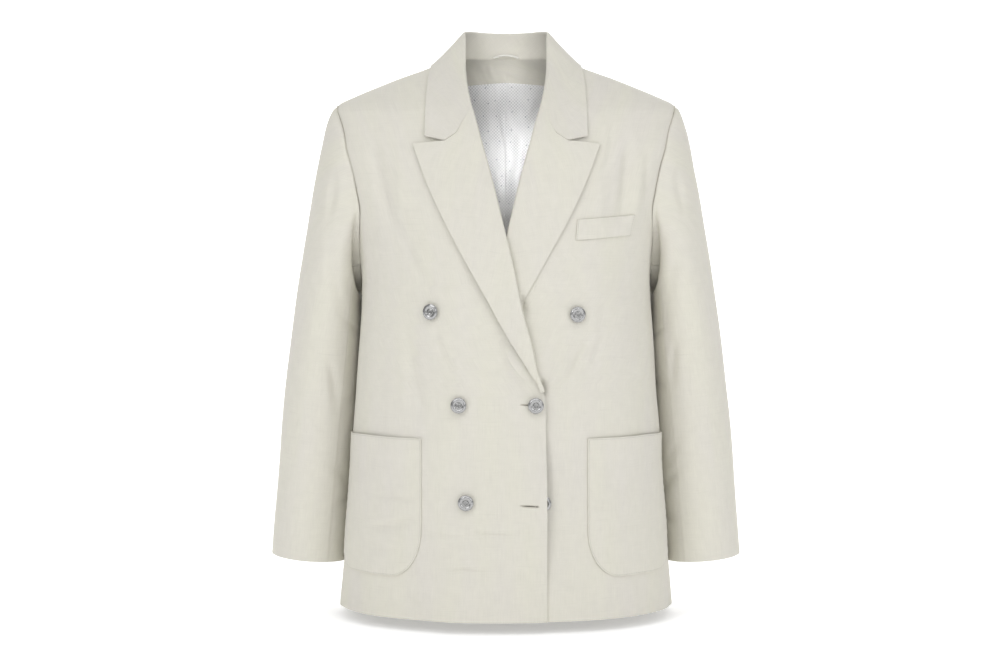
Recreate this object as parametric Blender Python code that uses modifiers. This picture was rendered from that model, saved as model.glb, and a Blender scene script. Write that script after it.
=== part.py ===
"""Double-breasted jacket with peak lapels, worn, standing hollow around a general upper body.

Metres, +Z up, the front faces -Y. The origin is the middle of the neck opening at the level of the
side neck points, where the wearer's shoulders carry the jacket. "Own side" numbers are for one half
of the garment: x grows away from the centre line, and `side` is +1 for +X and -1 for -X. The front
at -X laps over the front at +X.
"""

import math

import bmesh
import bpy
import numpy as np
from mathutils import Vector
from mathutils.bvhtree import BVHTree

# Cloth thicknesses, seam gap and fastening sizes.
FRONT_CLOTH = 0.0018
BODY_CLOTH = 0.0015
LAPEL_CLOTH = 0.0018
COLLAR_CLOTH = 0.0020
POCKET_CLOTH = 0.0014
FACING_CLOTH = 0.0010
LINING_CLOTH = 0.0010
SEAM_GAP = 0.0003
LAYER_GAP = 0.0004
SHANK_RADIUS = 0.0011

# Levels that the cut hangs from.
HEM = -0.703
BREAK = -0.411
UNDERARM = -0.285
SHOULDER_TIP = -0.058
GORGE = -0.069
NECK = 0.006
SIDE_LINE = -0.010


def table(names, *rows):
    """A short table as a dict from column name to an array."""
    return dict(zip(names.split(), np.array(rows, float).T))


# Horizontal sections of the body form: half width, depth before and behind the side line.
TORSO = table(
    "height half_width front back roundness",
    (-0.7030, 0.2165, 0.139, 0.128, 2.20),
    (-0.5860, 0.2065, 0.137, 0.122, 2.25),
    (-0.4820, 0.1985, 0.134, 0.116, 2.30),
    (-0.4130, 0.1940, 0.132, 0.112, 2.35),
    (-0.3480, 0.1890, 0.131, 0.113, 2.40),
    (-0.2850, 0.1860, 0.129, 0.118, 2.40),
    (-0.2200, 0.1930, 0.124, 0.124, 2.40),
    (-0.1800, 0.2035, 0.118, 0.126, 2.40),
    (-0.1460, 0.2128, 0.110, 0.126, 2.35),
    (-0.1080, 0.2212, 0.099, 0.122, 2.30),
    (-0.0690, 0.2225, 0.080, 0.112, 2.25),
    (-0.0580, 0.2200, 0.072, 0.108, 2.20),
    (-0.0375, 0.1695, 0.056, 0.098, 2.20),
    (-0.0245, 0.1380, 0.043, 0.090, 2.20),
    (-0.0105, 0.0990, 0.029, 0.081, 2.20),
    (-0.0030, 0.0820, 0.021, 0.075, 2.20),
    (0.0060, 0.0700, 0.014, 0.066, 2.20),
)
# The inner edge of a front: the plain edge below the break, then inside the lapel's roll, then the neck.
FRONT_EDGE = table(
    "height over under",
    (HEM, -0.0510, -0.0600),
    (-0.5600, -0.0495, -0.0600),
    (-0.4300, -0.0480, -0.0600),
    (BREAK, -0.0455, -0.0455),
    (-0.3030, -0.0178, -0.0178),
    (-0.2200, 0.0050, 0.0050),
    (-0.1510, 0.0220, 0.0220),
    (-0.1080, 0.0340, 0.0340),
    (GORGE, 0.0450, 0.0450),
    (-0.0400, 0.0575, 0.0575),
    (-0.0090, 0.0655, 0.0655),
    (NECK - 0.001, 0.0695, 0.0695),
)
# Puff under the roll: the lapel stands off its front this much, the hidden one lies flatter lower down.
ROLL_HEIGHT = table(
    "height over under",
    (BREAK, 0.0008, 0.0008),
    (-0.3300, 0.0022, 0.0008),
    (-0.2500, 0.0024, 0.0008),
    (-0.1950, 0.0024, 0.0022),
    (GORGE, 0.0024, 0.0024),
)
# The lapel's free edge, from its lower tip up to the peak, against the roll's height on the same row.
LAPEL_EDGE = table(
    "row x height",
    (0.00, -0.0430, -0.4100),
    (0.17, 0.0000, -0.3460),
    (0.30, 0.0260, -0.2990),
    (0.43, 0.0512, -0.2540),
    (0.59, 0.0800, -0.2000),
    (0.75, 0.1000, -0.1560),
    (1.00, 0.1170, -0.1100),
)
# Height of the neck seam at the collar's ribs, from the side neck point down to the gorge.
NECK_SEAM = table("rib height", (4, NECK - 0.001), (5, -0.007), (6, -0.020), (7, -0.040), (8, GORGE))
# The gorge seam from the roll over its bend to the notch, then the lapel's straight top out to the peak.
GORGE_LINE = table(
    "across x height",
    (0.00, 0.0450, GORGE),
    (0.30, 0.0620, -0.0980),
    (0.50, 0.0760, -0.1070),
    (1.00, 0.1170, -0.1100),
)
# The collar's end: the same gorge to the notch, then the collar's own short edge out to its point.
COLLAR_END = table(
    "across x height",
    (0.00, 0.0450, GORGE),
    (0.36, 0.0620, -0.0980),
    (0.62, 0.0760, -0.1070),
    (1.00, 0.1020, -0.1000),
)
LAPEL_SHARES = (0.15, 0.30, 0.40, 0.50, 0.75, 1.0)
# Collar ribs from the centre back (0) to the gorge (8): where it folds over and where it ends.
COLLAR = table(
    "rib fold_x fold_y fold_z edge_x edge_y edge_z",
    (0, 0.0000, 0.0660, 0.0412, 0.0000, 0.0760, -0.012),
    (1, 0.0230, 0.0630, 0.0411, 0.0360, 0.0730, -0.012),
    (2, 0.0415, 0.0510, 0.0405, 0.0670, 0.0560, -0.012),
    (3, 0.0520, 0.0300, 0.0385, 0.0870, 0.0300, -0.011),
    (4, 0.0555, 0.0040, 0.0360, 0.0955, 0.0020, -0.009),
    (5, 0.0550, -0.0180, 0.0220, 0.0985, -0.0240, -0.018),
    (6, 0.0530, -0.0380, -0.0035, 0.1005, -0.0500, -0.040),
    (7, 0.0495, -0.0690, -0.0350, 0.1020, -0.0740, -0.070),
    (8, 0.0410, -0.0860, GORGE, 0.1020, -0.0940, -0.100),
)
# Rings of a sleeve from the armhole to the cuff: its outer and inner contour seen from the front.
SLEEVE = table(
    "ring outer_x outer_z inner_x inner_z half_depth centre_y",
    (0.0, 0.2200, -0.0580, 0.1860, -0.285, 0.066, 0.004),
    (0.5, 0.2265, -0.0650, 0.1868, -0.287, 0.067, 0.004),
    (1.0, 0.2320, -0.0790, 0.1875, -0.290, 0.068, 0.005),
    (2.0, 0.2410, -0.1120, 0.1885, -0.296, 0.070, 0.007),
    (3.0, 0.2490, -0.1540, 0.1890, -0.304, 0.071, 0.010),
    (4.0, 0.2570, -0.2060, 0.1890, -0.316, 0.071, 0.014),
    (5.0, 0.2655, -0.2630, 0.1885, -0.334, 0.070, 0.018),
    (6.0, 0.2745, -0.3290, 0.1885, -0.366, 0.068, 0.022),
    (7.0, 0.2835, -0.4020, 0.1915, -0.419, 0.065, 0.025),
    (8.0, 0.2920, -0.4820, 0.1970, -0.491, 0.061, 0.026),
    (9.0, 0.2990, -0.5640, 0.2030, -0.570, 0.056, 0.024),
    (10.0, 0.3050, -0.6420, 0.2090, -0.649, 0.052, 0.020),
)
# Turns of the two sleeve seams round a ring, in degrees, at the armhole and at the cuff.
SLEEVE_SEAMS = table("ring front back", (0, 144, -126), (10, 122, -116))
# Lower edge of the back neck facing at the back panel's columns, from the shoulder seam to the centre.
FACING_EDGE = table(
    "column height", (0.5, -0.012), (1, -0.016), (2, -0.026), (3, -0.033), (4, -0.034),
    (5, -0.0315), (6, -0.0265), (7, -0.0235),
)
LINING_HEM = -0.300
INSIDE_GAP = BODY_CLOTH + LAYER_GAP
COLLAR_RIBS = 14
COLLAR_ROLL = 0.0036
FOLD_LEAD = 0.0010
GORGE_GAP = 0.0008
ARMHOLE_GAP = 0.0009
ARMHOLE_STEPS = 10
FALL_SHARES = (0.18, 0.36, 0.49, 0.62, 0.81, 1.0)
ARMHOLE_MIDDLE = (UNDERARM + SHOULDER_TIP) / 2
ARMHOLE_HALF = (SHOULDER_TIP - UNDERARM) / 2
ARMHOLE_REACH = 0.066
SIDE_SEAM = table("height y", (HEM, 0.034), (-0.45, 0.026), (UNDERARM, 0.018))
# How far the lapping front is carried clear of the one below, by height, and where it settles back.
LAP = table("height lift", (HEM, 0.0060), (-0.240, 0.0062), (-0.110, 0.0), (NECK, 0.0))
LAP_FROM, LAP_TO = 0.056, 0.125
BUTTON_BUMP = table("x height reach_x reach_z rise", (-0.052, -0.553, 0.045, 0.075, 0.0062))
# The largest folds: middle, slope seen from the front, half length, half width and depth (+ is a ridge).
FOLDS = table(
    "side x height slope_deg length width depth",
    (-1, 0.150, -0.190, 82, 0.110, 0.022, -0.0030),
    (1, 0.145, -0.180, 84, 0.110, 0.020, -0.0032),
    (1, 0.110, -0.330, 86, 0.120, 0.018, 0.0026),
)
# Buttons: side of the front they are sewn to, place, and how far the face stands off the cloth.
BUTTONS = table(
    "side x height stand",
    (-1, 0.0940, -0.3180, 0.0040),
    (-1, 0.0575, -0.4330, 0.0040),
    (-1, 0.0490, -0.5535, 0.0040),
    (1, 0.0895, -0.3210, 0.0040),
    (1, 0.0365, -0.4325, 0.0095),
    (1, 0.0455, -0.5545, 0.0030),
)
BUTTONHOLES = table("x_from x_to height", (-0.0415, -0.0180, -0.4325), (-0.0395, -0.0180, -0.5570))
BUTTONHOLE_WIDTH = 0.0030
# Turned profile of a button, from the rim's middle line down to the shank: radius, height.
BUTTON_PROFILE = table(
    "radius height",
    (0.0000, 0.0021),
    (0.0050, 0.0018),
    (0.0078, 0.0012),
    (0.0088, 0.0021),
    (0.0101, 0.0018),
    (0.0104, 0.0008),
    (0.0085, -0.0004),
    (0.0035, -0.0010),
    (0.0011, -0.0012),
)
LOOP = dict(half_width=0.0165, height=0.0085, rise=0.0025, bow=0.0010, radius=0.0010)
PATCH_POCKET = dict(inner=0.1050, width=0.158, top=-0.4790, bottom=-0.6500, corner=0.044)
BREAST_POCKET = dict(inner=0.0860, width=0.078, low=-0.2298, height=0.0255, rise=0.0060)


def smooth(keys, values, at):
    """A monotone cubic curve through (keys, values), read at `at`. It never overshoots its rows."""
    keys, values = np.asarray(keys, float), np.asarray(values, float)
    if keys[0] > keys[-1]:
        keys, values = keys[::-1], values[::-1]
    slopes = np.diff(values) / np.diff(keys)
    tangents = np.concatenate([slopes[:1], np.zeros(len(slopes) - 1), slopes[-1:]])
    same_way = slopes[:-1] * slopes[1:] > 0
    total = np.where(same_way, slopes[:-1] + slopes[1:], 1.0)
    tangents[1:-1] = np.where(same_way, 2 * slopes[:-1] * slopes[1:] / total, 0.0)
    at = np.clip(at, keys[0], keys[-1])
    row = np.clip(np.searchsorted(keys, at, side="right") - 1, 0, len(slopes) - 1)
    step = keys[row + 1] - keys[row]
    t = (at - keys[row]) / step
    return (
        values[row] * (1 + 2 * t) * (1 - t) ** 2
        + values[row + 1] * t * t * (3 - 2 * t)
        + step * tangents[row] * t * (1 - t) ** 2
        - step * tangents[row + 1] * t * t * (1 - t)
    )


def read(rows, column, at):
    """A column of a table at a value of the table's first column."""
    return smooth(next(iter(rows.values())), rows[column], at)


def straight(rows, column, at):
    """The same with straight lines between the rows."""
    return np.interp(at, next(iter(rows.values())), rows[column])


def ease(t):
    t = np.clip(t, 0.0, 1.0)
    return t * t * (3 - 2 * t)


def signed_power(value, power):
    return np.sign(value) * np.abs(value) ** power


# ---------------------------------------------------------------- the body form


def torso_point(angle, height):
    """A point of the bare form: angle 0 is the centre front, pi / 2 the side, pi the centre back."""
    angle, height = np.broadcast_arrays(np.asarray(angle, float), np.asarray(height, float))
    half_width = read(TORSO, "half_width", height)
    power = 2 / read(TORSO, "roundness", height)
    facing = np.cos(angle)
    depth = np.where(facing > 0, read(TORSO, "front", height), read(TORSO, "back", height))
    x = half_width * signed_power(np.sin(angle), power)
    y = SIDE_LINE - depth * signed_power(facing, power)
    return np.stack([x, y, height], axis=-1)


def torso_normal(angle, height):
    step = 0.004
    around = torso_point(angle + step, height) - torso_point(angle - step, height)
    up = torso_point(angle, height + step) - torso_point(angle, height - step)
    normal = np.cross(around, up)
    return normal / np.linalg.norm(normal, axis=-1, keepdims=True)


def angle_at_x(x, height):
    """The angle on the front half where the form is that far from the centre line."""
    half_width = read(TORSO, "half_width", height)
    power = read(TORSO, "roundness", height) / 2
    return np.arcsin(np.clip(signed_power(x / half_width, power), -1.0, 1.0))


def angle_at_y(y, height):
    """The angle where the form is at that depth."""
    behind = y - SIDE_LINE
    depth = np.where(behind < 0, read(TORSO, "front", height), read(TORSO, "back", height))
    power = read(TORSO, "roundness", height) / 2
    return np.arccos(np.clip(signed_power(-behind / depth, power), -1.0, 1.0))


def folds(side, x, height, behind):
    """Height of the largest folds over the form, on the front only."""
    rise = np.zeros_like(x)
    for fold_side, fx, fz, slope, length, width, depth in zip(*FOLDS.values()):
        if fold_side != side:
            continue
        turn = math.radians(slope)
        along = (x - fx) * math.cos(turn) + (height - fz) * math.sin(turn)
        across = (height - fz) * math.cos(turn) - (x - fx) * math.sin(turn)
        reach = np.clip(1 - (along / length) ** 2, 0, 1) ** 2
        rise += depth * reach * np.exp(-((across / width) ** 2))
    return np.where(behind, 0.0, rise)


def lap_lift(x, height):
    """How far the lapping front stands off the form."""
    lift = read(LAP, "lift", height) * (1 - ease((x - LAP_FROM) / (LAP_TO - LAP_FROM)))
    for bx, bz, reach_x, reach_z, rise in zip(*BUTTON_BUMP.values()):
        near = np.exp(-(((x - bx) / reach_x) ** 2) - ((height - bz) / reach_z) ** 2)
        lift += rise * near
    return lift


def cloth_point(side, angle, height, clearance=0.0):
    """Own-side point on the outer face of the body cloth, moved out along its normal."""
    angle, height = np.broadcast_arrays(np.asarray(angle, float), np.asarray(height, float))
    point, normal = torso_point(angle, height), torso_normal(angle, height)
    behind = angle > math.pi / 2
    out = clearance + folds(side, point[..., 0], height, behind)
    if side < 0:
        out = out + np.where(behind, 0.0, lap_lift(point[..., 0], height))
    return point + normal * np.asarray(out)[..., None]


def front_point(side, x, height, clearance=0.0):
    """The same, found by how far it is from the centre line."""
    return cloth_point(side, angle_at_x(x, height), height, clearance)


def seat(side, point, clearance):
    """Moves a rough point along the form's slope until it stands `clearance` off the form."""
    point = np.array(point, float)
    x, y, height = point[..., 0], point[..., 1], point[..., 2]

    def outside(px, py, pz):
        depth = np.where(py < SIDE_LINE, read(TORSO, "front", pz), read(TORSO, "back", pz))
        power = read(TORSO, "roundness", pz)
        across = np.abs(px / read(TORSO, "half_width", pz)) ** power
        return (across + np.abs((py - SIDE_LINE) / depth) ** power) ** (1 / power) - 1

    step = 1e-5
    for _ in range(12):
        here = outside(x, y, height)
        slope = np.stack(
            [
                outside(x + step, y, height) - here,
                outside(x, y + step, height) - here,
                outside(x, y, height + step) - here,
            ],
            axis=-1,
        ) / step
        size = np.linalg.norm(slope, axis=-1)
        move = -np.clip(here / size, -0.01, 0.01) / size
        x = x + slope[..., 0] * move
        y = y + slope[..., 1] * move
        height = height + slope[..., 2] * move
    normal = slope / size[..., None]
    rise = clearance + folds(side, x, height, y > SIDE_LINE)
    if side < 0:
        rise = rise + np.where(y < SIDE_LINE, lap_lift(x, height), 0.0)
    return np.stack([x, y, height], axis=-1) + normal * np.asarray(rise)[..., None]


def triangles(rows, columns, first=0, mirror=None):
    """Two triangles for each square of a grid, all split the same way. In a grid of both halves of the
    garment, the half beyond its middle row or column is split the other way, as its mirror image."""
    faces = []
    for r in range(rows - 1):
        for c in range(columns - 1):
            k = first + r * columns + c
            beyond = {None: False, "rows": r >= rows // 2, "columns": c >= columns // 2}[mirror]
            if beyond:
                faces += [(k, k + 1, k + columns), (k + 1, k + columns + 1, k + columns)]
            else:
                faces += [(k, k + 1, k + columns + 1), (k, k + columns + 1, k + columns)]
    return faces


def facets(*grids):
    """The facets of own-side panels, for finding the nearest one to a point."""
    points, faces = [], []
    for grid in grids:
        faces += triangles(*grid.shape[:2], first=len(points))
        points += [Vector(point) for point in grid.reshape(-1, 3).tolist()]
    return BVHTree.FromPolygons(points, faces)


def places_in(square):
    """Points spread over a square's two triangles, each with the corner points it lies between."""
    (low, low_next), (high, high_next) = square
    for up in (0.0, 0.25, 0.5, 0.75):
        for over in (0.0, 0.25, 0.5, 0.75):
            if over >= up:
                yield low + (low_next - low) * over + (high_next - low_next) * up
            else:
                yield low + (high - low) * up + (high_next - high) * over


def laid_on(grid, body, clearance):
    """A skin with every place that is too near the facets below moved out, the middles of its faces too."""
    grid = grid.copy()
    rows, columns = grid.shape[:2]
    for _ in range(8):
        push, most = np.zeros_like(grid), np.zeros((rows, columns))
        for r in range(rows):
            for c in range(columns):
                next_r, next_c = min(r + 1, rows - 1), min(c + 1, columns - 1)
                corners = ((r, c), (r, next_c), (next_r, c), (next_r, next_c))
                square = ((grid[r, c], grid[r, next_c]), (grid[next_r, c], grid[next_r, next_c]))
                for place in places_in(square):
                    place = Vector(place.tolist())
                    near, normal, _, distance = body.find_nearest(place)
                    off = (place - near).dot(normal)
                    if abs(off) < 0.95 * distance or off >= clearance:
                        continue
                    for corner in corners:
                        if clearance - off > most[corner]:
                            most[corner] = clearance - off
                            push[corner] = np.array(normal) * (clearance - off)
        grid += push * 0.7
    return grid


# ---------------------------------------------------------------- making Blender objects


def material(name, colour, roughness, metallic=0.0):
    made = bpy.data.materials.new(name)
    made.use_nodes = True
    shader = made.node_tree.nodes["Principled BSDF"]
    shader.inputs["Base Color"].default_value = (*colour, 1.0)
    shader.inputs["Roughness"].default_value = roughness
    shader.inputs["Metallic"].default_value = metallic
    return made


def placed(obj, collection, look):
    collection.objects.link(obj)
    obj.data.materials.append(look)
    return obj


def cloth(name, grid, thickness, collection, look, side=1, mirror=None):
    """An own-side grid of points as a cloth wall on its side, which thickens inwards from its outer face."""
    faces = triangles(*grid.shape[:2], mirror=mirror)
    if side < 0:
        faces = [face[::-1] for face in faces]
    mesh = bpy.data.meshes.new(name)
    mesh.from_pydata([(side * x, y, z) for x, y, z in grid.reshape(-1, 3)], [], faces)
    sheet = bmesh.new()
    sheet.from_mesh(mesh)
    bmesh.ops.remove_doubles(sheet, verts=sheet.verts, dist=0.0004)
    for face in sheet.faces:
        face.smooth = True
    for edge in sheet.edges:
        edge.smooth = not edge.is_boundary
    sheet.to_mesh(mesh)
    sheet.free()
    wall = bpy.data.objects.new(name, mesh)
    solidify = wall.modifiers.new("thickness", "SOLIDIFY")
    solidify.thickness = thickness
    solidify.offset = -1.0
    return placed(wall, collection, look)


# ---------------------------------------------------------------- fronts and back


def spaced(count, first=1.0, last=1.0):
    """Places from 0 to 1 in `count` steps, with shorter steps next to the seams."""
    steps = np.ones(count)
    steps[0], steps[-1] = first, last
    return np.concatenate([[0.0], np.cumsum(steps) / steps.sum()])


def armhole_steps(count):
    """Heights round the armhole, close together where it turns, from the underarm to the shoulder tip."""
    turn = np.linspace(0.0, math.pi, count + 1)
    return ARMHOLE_MIDDLE - ARMHOLE_HALF * np.cos(turn)


def armhole_y(height, side_of_arm):
    """Depth of the armhole's edge at a height: side_of_arm is -1 at its front and +1 at its back."""
    level = np.clip((height - ARMHOLE_MIDDLE) / ARMHOLE_HALF, -1.0, 1.0)
    low, high = SIDE_SEAM["y"][-1], SIDE_LINE
    middle = low + (high - low) * ease((height - UNDERARM) / (SHOULDER_TIP - UNDERARM))
    return middle + side_of_arm * ARMHOLE_REACH * np.sqrt(1 - level**2)


def outer_angle(height, side_of_arm):
    """Angle where a front (-1) or back (+1) ends: side seam, armhole edge, then shoulder seam."""
    seam = read(SIDE_SEAM, "y", height)
    shoulder = np.full_like(height, SIDE_LINE)
    y = np.where(height < UNDERARM, seam, np.where(height > SHOULDER_TIP, shoulder, 0.0))
    in_armhole = (height >= UNDERARM) & (height <= SHOULDER_TIP)
    y = np.where(in_armhole, armhole_y(height, side_of_arm), y)
    return angle_at_y(y + side_of_arm * SEAM_GAP / 2, height)


def panel_heights(lower, armhole, shoulder):
    """Row heights of a body panel: the skirt with a row at the break, the armhole, then the shoulder."""
    skirt = np.concatenate(
        [
            np.linspace(HEM, BREAK - 0.004, lower, endpoint=False),
            [BREAK - 0.004],
            np.linspace(BREAK, UNDERARM, lower // 2, endpoint=False),
        ]
    )
    arm = armhole_steps(armhole)
    top = np.linspace(0.0, 1.0, shoulder + 1)[1:]
    top = SHOULDER_TIP + (NECK - 0.001 - SHOULDER_TIP) * top
    return np.concatenate([skirt, arm, top])


def front_grid(side, heights, columns):
    edge = "over" if side < 0 else "under"
    start = angle_at_x(read(FRONT_EDGE, edge, heights), heights)
    end = outer_angle(heights, -1)
    angle = start[:, None] + (end - start)[:, None] * spaced(columns, last=0.2)
    return cloth_point(side, angle, heights[:, None])


def back_grid(side, heights, columns):
    start = outer_angle(heights, 1)
    end = math.pi - angle_at_x(np.full_like(heights, SEAM_GAP / 2), heights)
    angle = start[:, None] + (end - start)[:, None] * spaced(columns, first=0.2)
    return cloth_point(side, angle, heights[:, None])


def row_at(grid, heights, height):
    """The row of a panel at any height, on its facets."""
    place = np.interp(height, heights, np.arange(len(heights)))
    row = min(int(place), len(heights) - 2)
    return grid[row] + (grid[row + 1] - grid[row]) * (place - row)


def point_at(row, column):
    """A point of a panel's row at a fractional column, on its facets."""
    before = min(int(column), len(row) - 2)
    return row[before] + (row[before + 1] - row[before]) * (column - before)


def column_at(row, inner, distance):
    """The fractional column that far round a panel's row from own-side x `inner`."""
    start = np.interp(inner, row[:, 0], np.arange(len(row)))
    lengths = np.concatenate([[0.0], np.cumsum(np.linalg.norm(np.diff(row, axis=0), axis=1))])
    from_edge = np.interp(start, np.arange(len(row)), lengths)
    return float(np.interp(from_edge + distance, lengths, np.arange(len(row))))


def moved_out(point, clearance):
    """A point of a panel's facets, moved out along the form's normal."""
    x, y, height = point
    angle = angle_at_x(x, height) if y < SIDE_LINE else math.pi - angle_at_x(x, height)
    if abs(y - SIDE_LINE) < 0.05:
        angle = angle_at_y(y, height)
    return point + torso_normal(float(angle), height) * clearance


# ---------------------------------------------------------------- lapels


def roll_parts(side, height):
    """Edge of the front, outward normal and the way across the roll line towards the opening."""
    edge = "over" if side < 0 else "under"
    x = read(FRONT_EDGE, edge, height)
    point = front_point(side, x, height)
    normal = torso_normal(angle_at_x(x, height), height)
    ahead = front_point(side, read(FRONT_EDGE, edge, height + 0.004), height + 0.004)
    behind = front_point(side, read(FRONT_EDGE, edge, height - 0.004), height - 0.004)
    along = (ahead - behind) / np.linalg.norm(ahead - behind, axis=-1, keepdims=True)
    across = np.cross(normal, along)
    across = np.where(across[..., :1] > 0, -across, across)
    across = across / np.linalg.norm(across, axis=-1, keepdims=True)
    return point, normal, across


def roll_arc(side, height, turns):
    """Skin of the rolled fold on one row: level with the front, then round its edge to on top of it."""
    point, normal, across = roll_parts(side, height)
    edge = "over" if side < 0 else "under"
    stand = read(ROLL_HEIGHT, edge, height)
    radius = (stand + 1.5 * LAPEL_CLOTH + 0.5 * FRONT_CLOTH) / 2
    start = point + across * SEAM_GAP - normal * (LAPEL_CLOTH + FRONT_CLOTH) / 2
    centre = start + across * FOLD_LEAD + normal * radius
    turn = np.linspace(0.0, math.pi, turns + 1)[:, None]
    return np.concatenate([[start], centre + radius * (across * np.sin(turn) - normal * np.cos(turn))])


def lapel_top(side, row, across):
    """Point of the lapel's upper face at a row (0 at the break, 1 at the gorge) and share of its width."""
    roll_height = BREAK + (GORGE - BREAK) * row
    edge = "over" if side < 0 else "under"
    roll_x = read(FRONT_EDGE, edge, roll_height)
    roll = np.array([roll_x, roll_height])
    edge_end = np.array([read(LAPEL_EDGE, name, row) for name in ("x", "height")])
    gorge = np.array([straight(GORGE_LINE, name, [0.0, across, 1.0]) for name in ("x", "height")]).T
    bend = gorge[1] - gorge[0] - (gorge[2] - gorge[0]) * across
    x, height = roll + (edge_end - roll) * across + bend * row**4
    stand = read(ROLL_HEIGHT, edge, height)
    puff = LAYER_GAP + (stand - LAYER_GAP) * (1 - across) ** 2
    return front_point(side, x, height, puff + LAPEL_CLOTH)


def lapel_grid(side, heights, turns):
    """The lapel's skin: the rolled fold, then out to the free edge, on rows level with the front's own."""
    heights = heights[(heights > BREAK - 0.0001) & (heights < GORGE - 0.004)]
    grid = []
    for height in [*heights, GORGE]:
        row = (height - BREAK) / (GORGE - BREAK)
        top = np.array([lapel_top(side, row, share) for share in LAPEL_SHARES])
        grid.append(np.concatenate([roll_arc(side, height, turns), top]))
    return np.array(grid)


# ---------------------------------------------------------------- collar


def neck_seam(rib):
    """The collar's seam on the neck edge: round the back to the side at rib 4, then down the front."""
    angle = math.pi - min(rib, 4) / 4 * math.pi / 2
    back = torso_point(angle, NECK) - torso_normal(angle, NECK - 0.002) * BODY_CLOTH * 0.6
    back = back + np.array([0.0, 0.0, SEAM_GAP])
    if rib <= 4:
        return back
    point, normal, across = roll_parts(1, read(NECK_SEAM, "height", rib))
    inwards = 0.0010 + 0.0024 * ease((6.5 - rib) / 2)
    front = point + across * inwards + normal * 0.0008
    return back + (front - back) * ease((rib - 4) / 0.6)


def collar_end(share):
    """Own-side point of the collar's end row: along the gorge to the notch, then out to the point."""
    x, height = straight(COLLAR_END, "x", share), straight(COLLAR_END, "height", share)
    stand = read(ROLL_HEIGHT, "over", GORGE)
    puff = LAYER_GAP + (stand - LAYER_GAP) * (1 - 0.8 * share) ** 2
    return front_point(1, x, height + GORGE_GAP, puff + COLLAR_CLOTH)


def collar_rib(rib):
    """One rib of the collar's skin: up the stand, over the fold and down the fall to the free edge."""
    fold = np.array([read(COLLAR, f"fold_{axis}", rib) for axis in "xyz"])
    edge = np.array([read(COLLAR, f"edge_{axis}", rib) for axis in "xyz"])
    edge = seat(1, edge, LAYER_GAP + COLLAR_CLOTH)
    seam = neck_seam(rib)
    rise = (fold - seam) / np.linalg.norm(fold - seam)
    outward = (edge - fold) - rise * np.dot(edge - fold, rise)
    outward = outward / np.linalg.norm(outward)
    turn = np.linspace(0.0, math.pi, 5)[:, None]
    arc = fold - rise * COLLAR_ROLL + COLLAR_ROLL * (rise * np.sin(turn) - outward * np.cos(turn))
    share = np.array(FALL_SHARES)[:, None]
    fall = arc[-1] + (edge - arc[-1]) * share + np.array([0.0, 0.0, 0.006]) * share * (1 - share)
    points = np.concatenate([[seam, (seam + arc[0]) / 2], arc, fall])
    end_share = ease((rib - 6.0) / 2.0)
    end = np.concatenate([roll_arc(1, GORGE + GORGE_GAP, 5), [collar_end(s) for s in FALL_SHARES]])
    return points + (end - points) * end_share


def collar_grid(ribs, body):
    """Both halves of the collar as one skin, from the gorge on +X round the back to the gorge on -X."""
    half = np.array([collar_rib(rib) for rib in np.linspace(8.0, 0.0, ribs + 1)])
    half[:, 7:] = laid_on(half[:, 7:], body, LAYER_GAP + COLLAR_CLOTH)
    half = list(half)
    left = [skin * np.array([-1.0, 1.0, 1.0]) for skin in half[-2::-1]]
    return np.array(half + left)


# ---------------------------------------------------------------- sleeves


def armhole_loop(turn):
    """Own-side points of the armhole seam: turn 0 at the shoulder tip, pi / 2 in front, pi under the arm.
    It runs straight between the rows of the body panels, as their edges do."""
    step = math.pi / ARMHOLE_STEPS
    before = np.floor(turn / step + 1e-6) * step
    ends = []
    for corner in (before, before + step):
        height = ARMHOLE_MIDDLE + ARMHOLE_HALF * np.cos(corner)
        y = armhole_y(height, np.where(np.sin(corner) >= 0, -1.0, 1.0))
        ends.append(torso_point(angle_at_y(y, height), height))
    return ends[0] + (ends[1] - ends[0]) * ((turn - before) / step)[..., None]


def sleeve_ring(ring, turn):
    """Own-side points of a sleeve ring. The first rings take over the armhole's bowed loop bit by bit."""
    outer_x, outer_z, inner_x, inner_z, half_depth, centre_y = (
        read(SLEEVE, name, ring) for name in list(SLEEVE)[1:]
    )
    along = (1 + np.cos(turn)) / 2
    x = inner_x + (outer_x - inner_x) * along
    z = inner_z + (outer_z - inner_z) * along
    y = centre_y - half_depth * np.sin(turn)
    flat = np.stack([x, y, z], axis=-1)
    start_x, start_z = SLEEVE["outer_x"][0], SLEEVE["outer_z"][0]
    end_x, end_z = SLEEVE["inner_x"][0], SLEEVE["inner_z"][0]
    first = np.stack(
        [
            end_x + (start_x - end_x) * along,
            SLEEVE["centre_y"][0] - SLEEVE["half_depth"][0] * np.sin(turn),
            end_z + (start_z - end_z) * along,
        ],
        axis=-1,
    )
    bow = armhole_loop(turn) - first
    return flat + bow * (1 - ease(ring / 4.5)) ** 1.5


def sleeve_grid(rings, start, end, shares):
    """Rows from the cuff up to the armhole between two seams, each given as turns at armhole and cuff."""
    grid = []
    for ring in 10 * np.linspace(1.0, 0.0, rings + 1) ** 1.25:
        first = start[0] + (start[1] - start[0]) * ring / 10
        last = end[0] + (end[1] - end[0]) * ring / 10
        turn = first + (last - first) * shares
        points = sleeve_ring(ring, turn)
        if ring == 0:
            away = sleeve_ring(0.5, turn) - points
            points = points + away / np.linalg.norm(away, axis=1, keepdims=True) * ARMHOLE_GAP
        grid.append(points)
    return np.array(grid)


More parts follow.
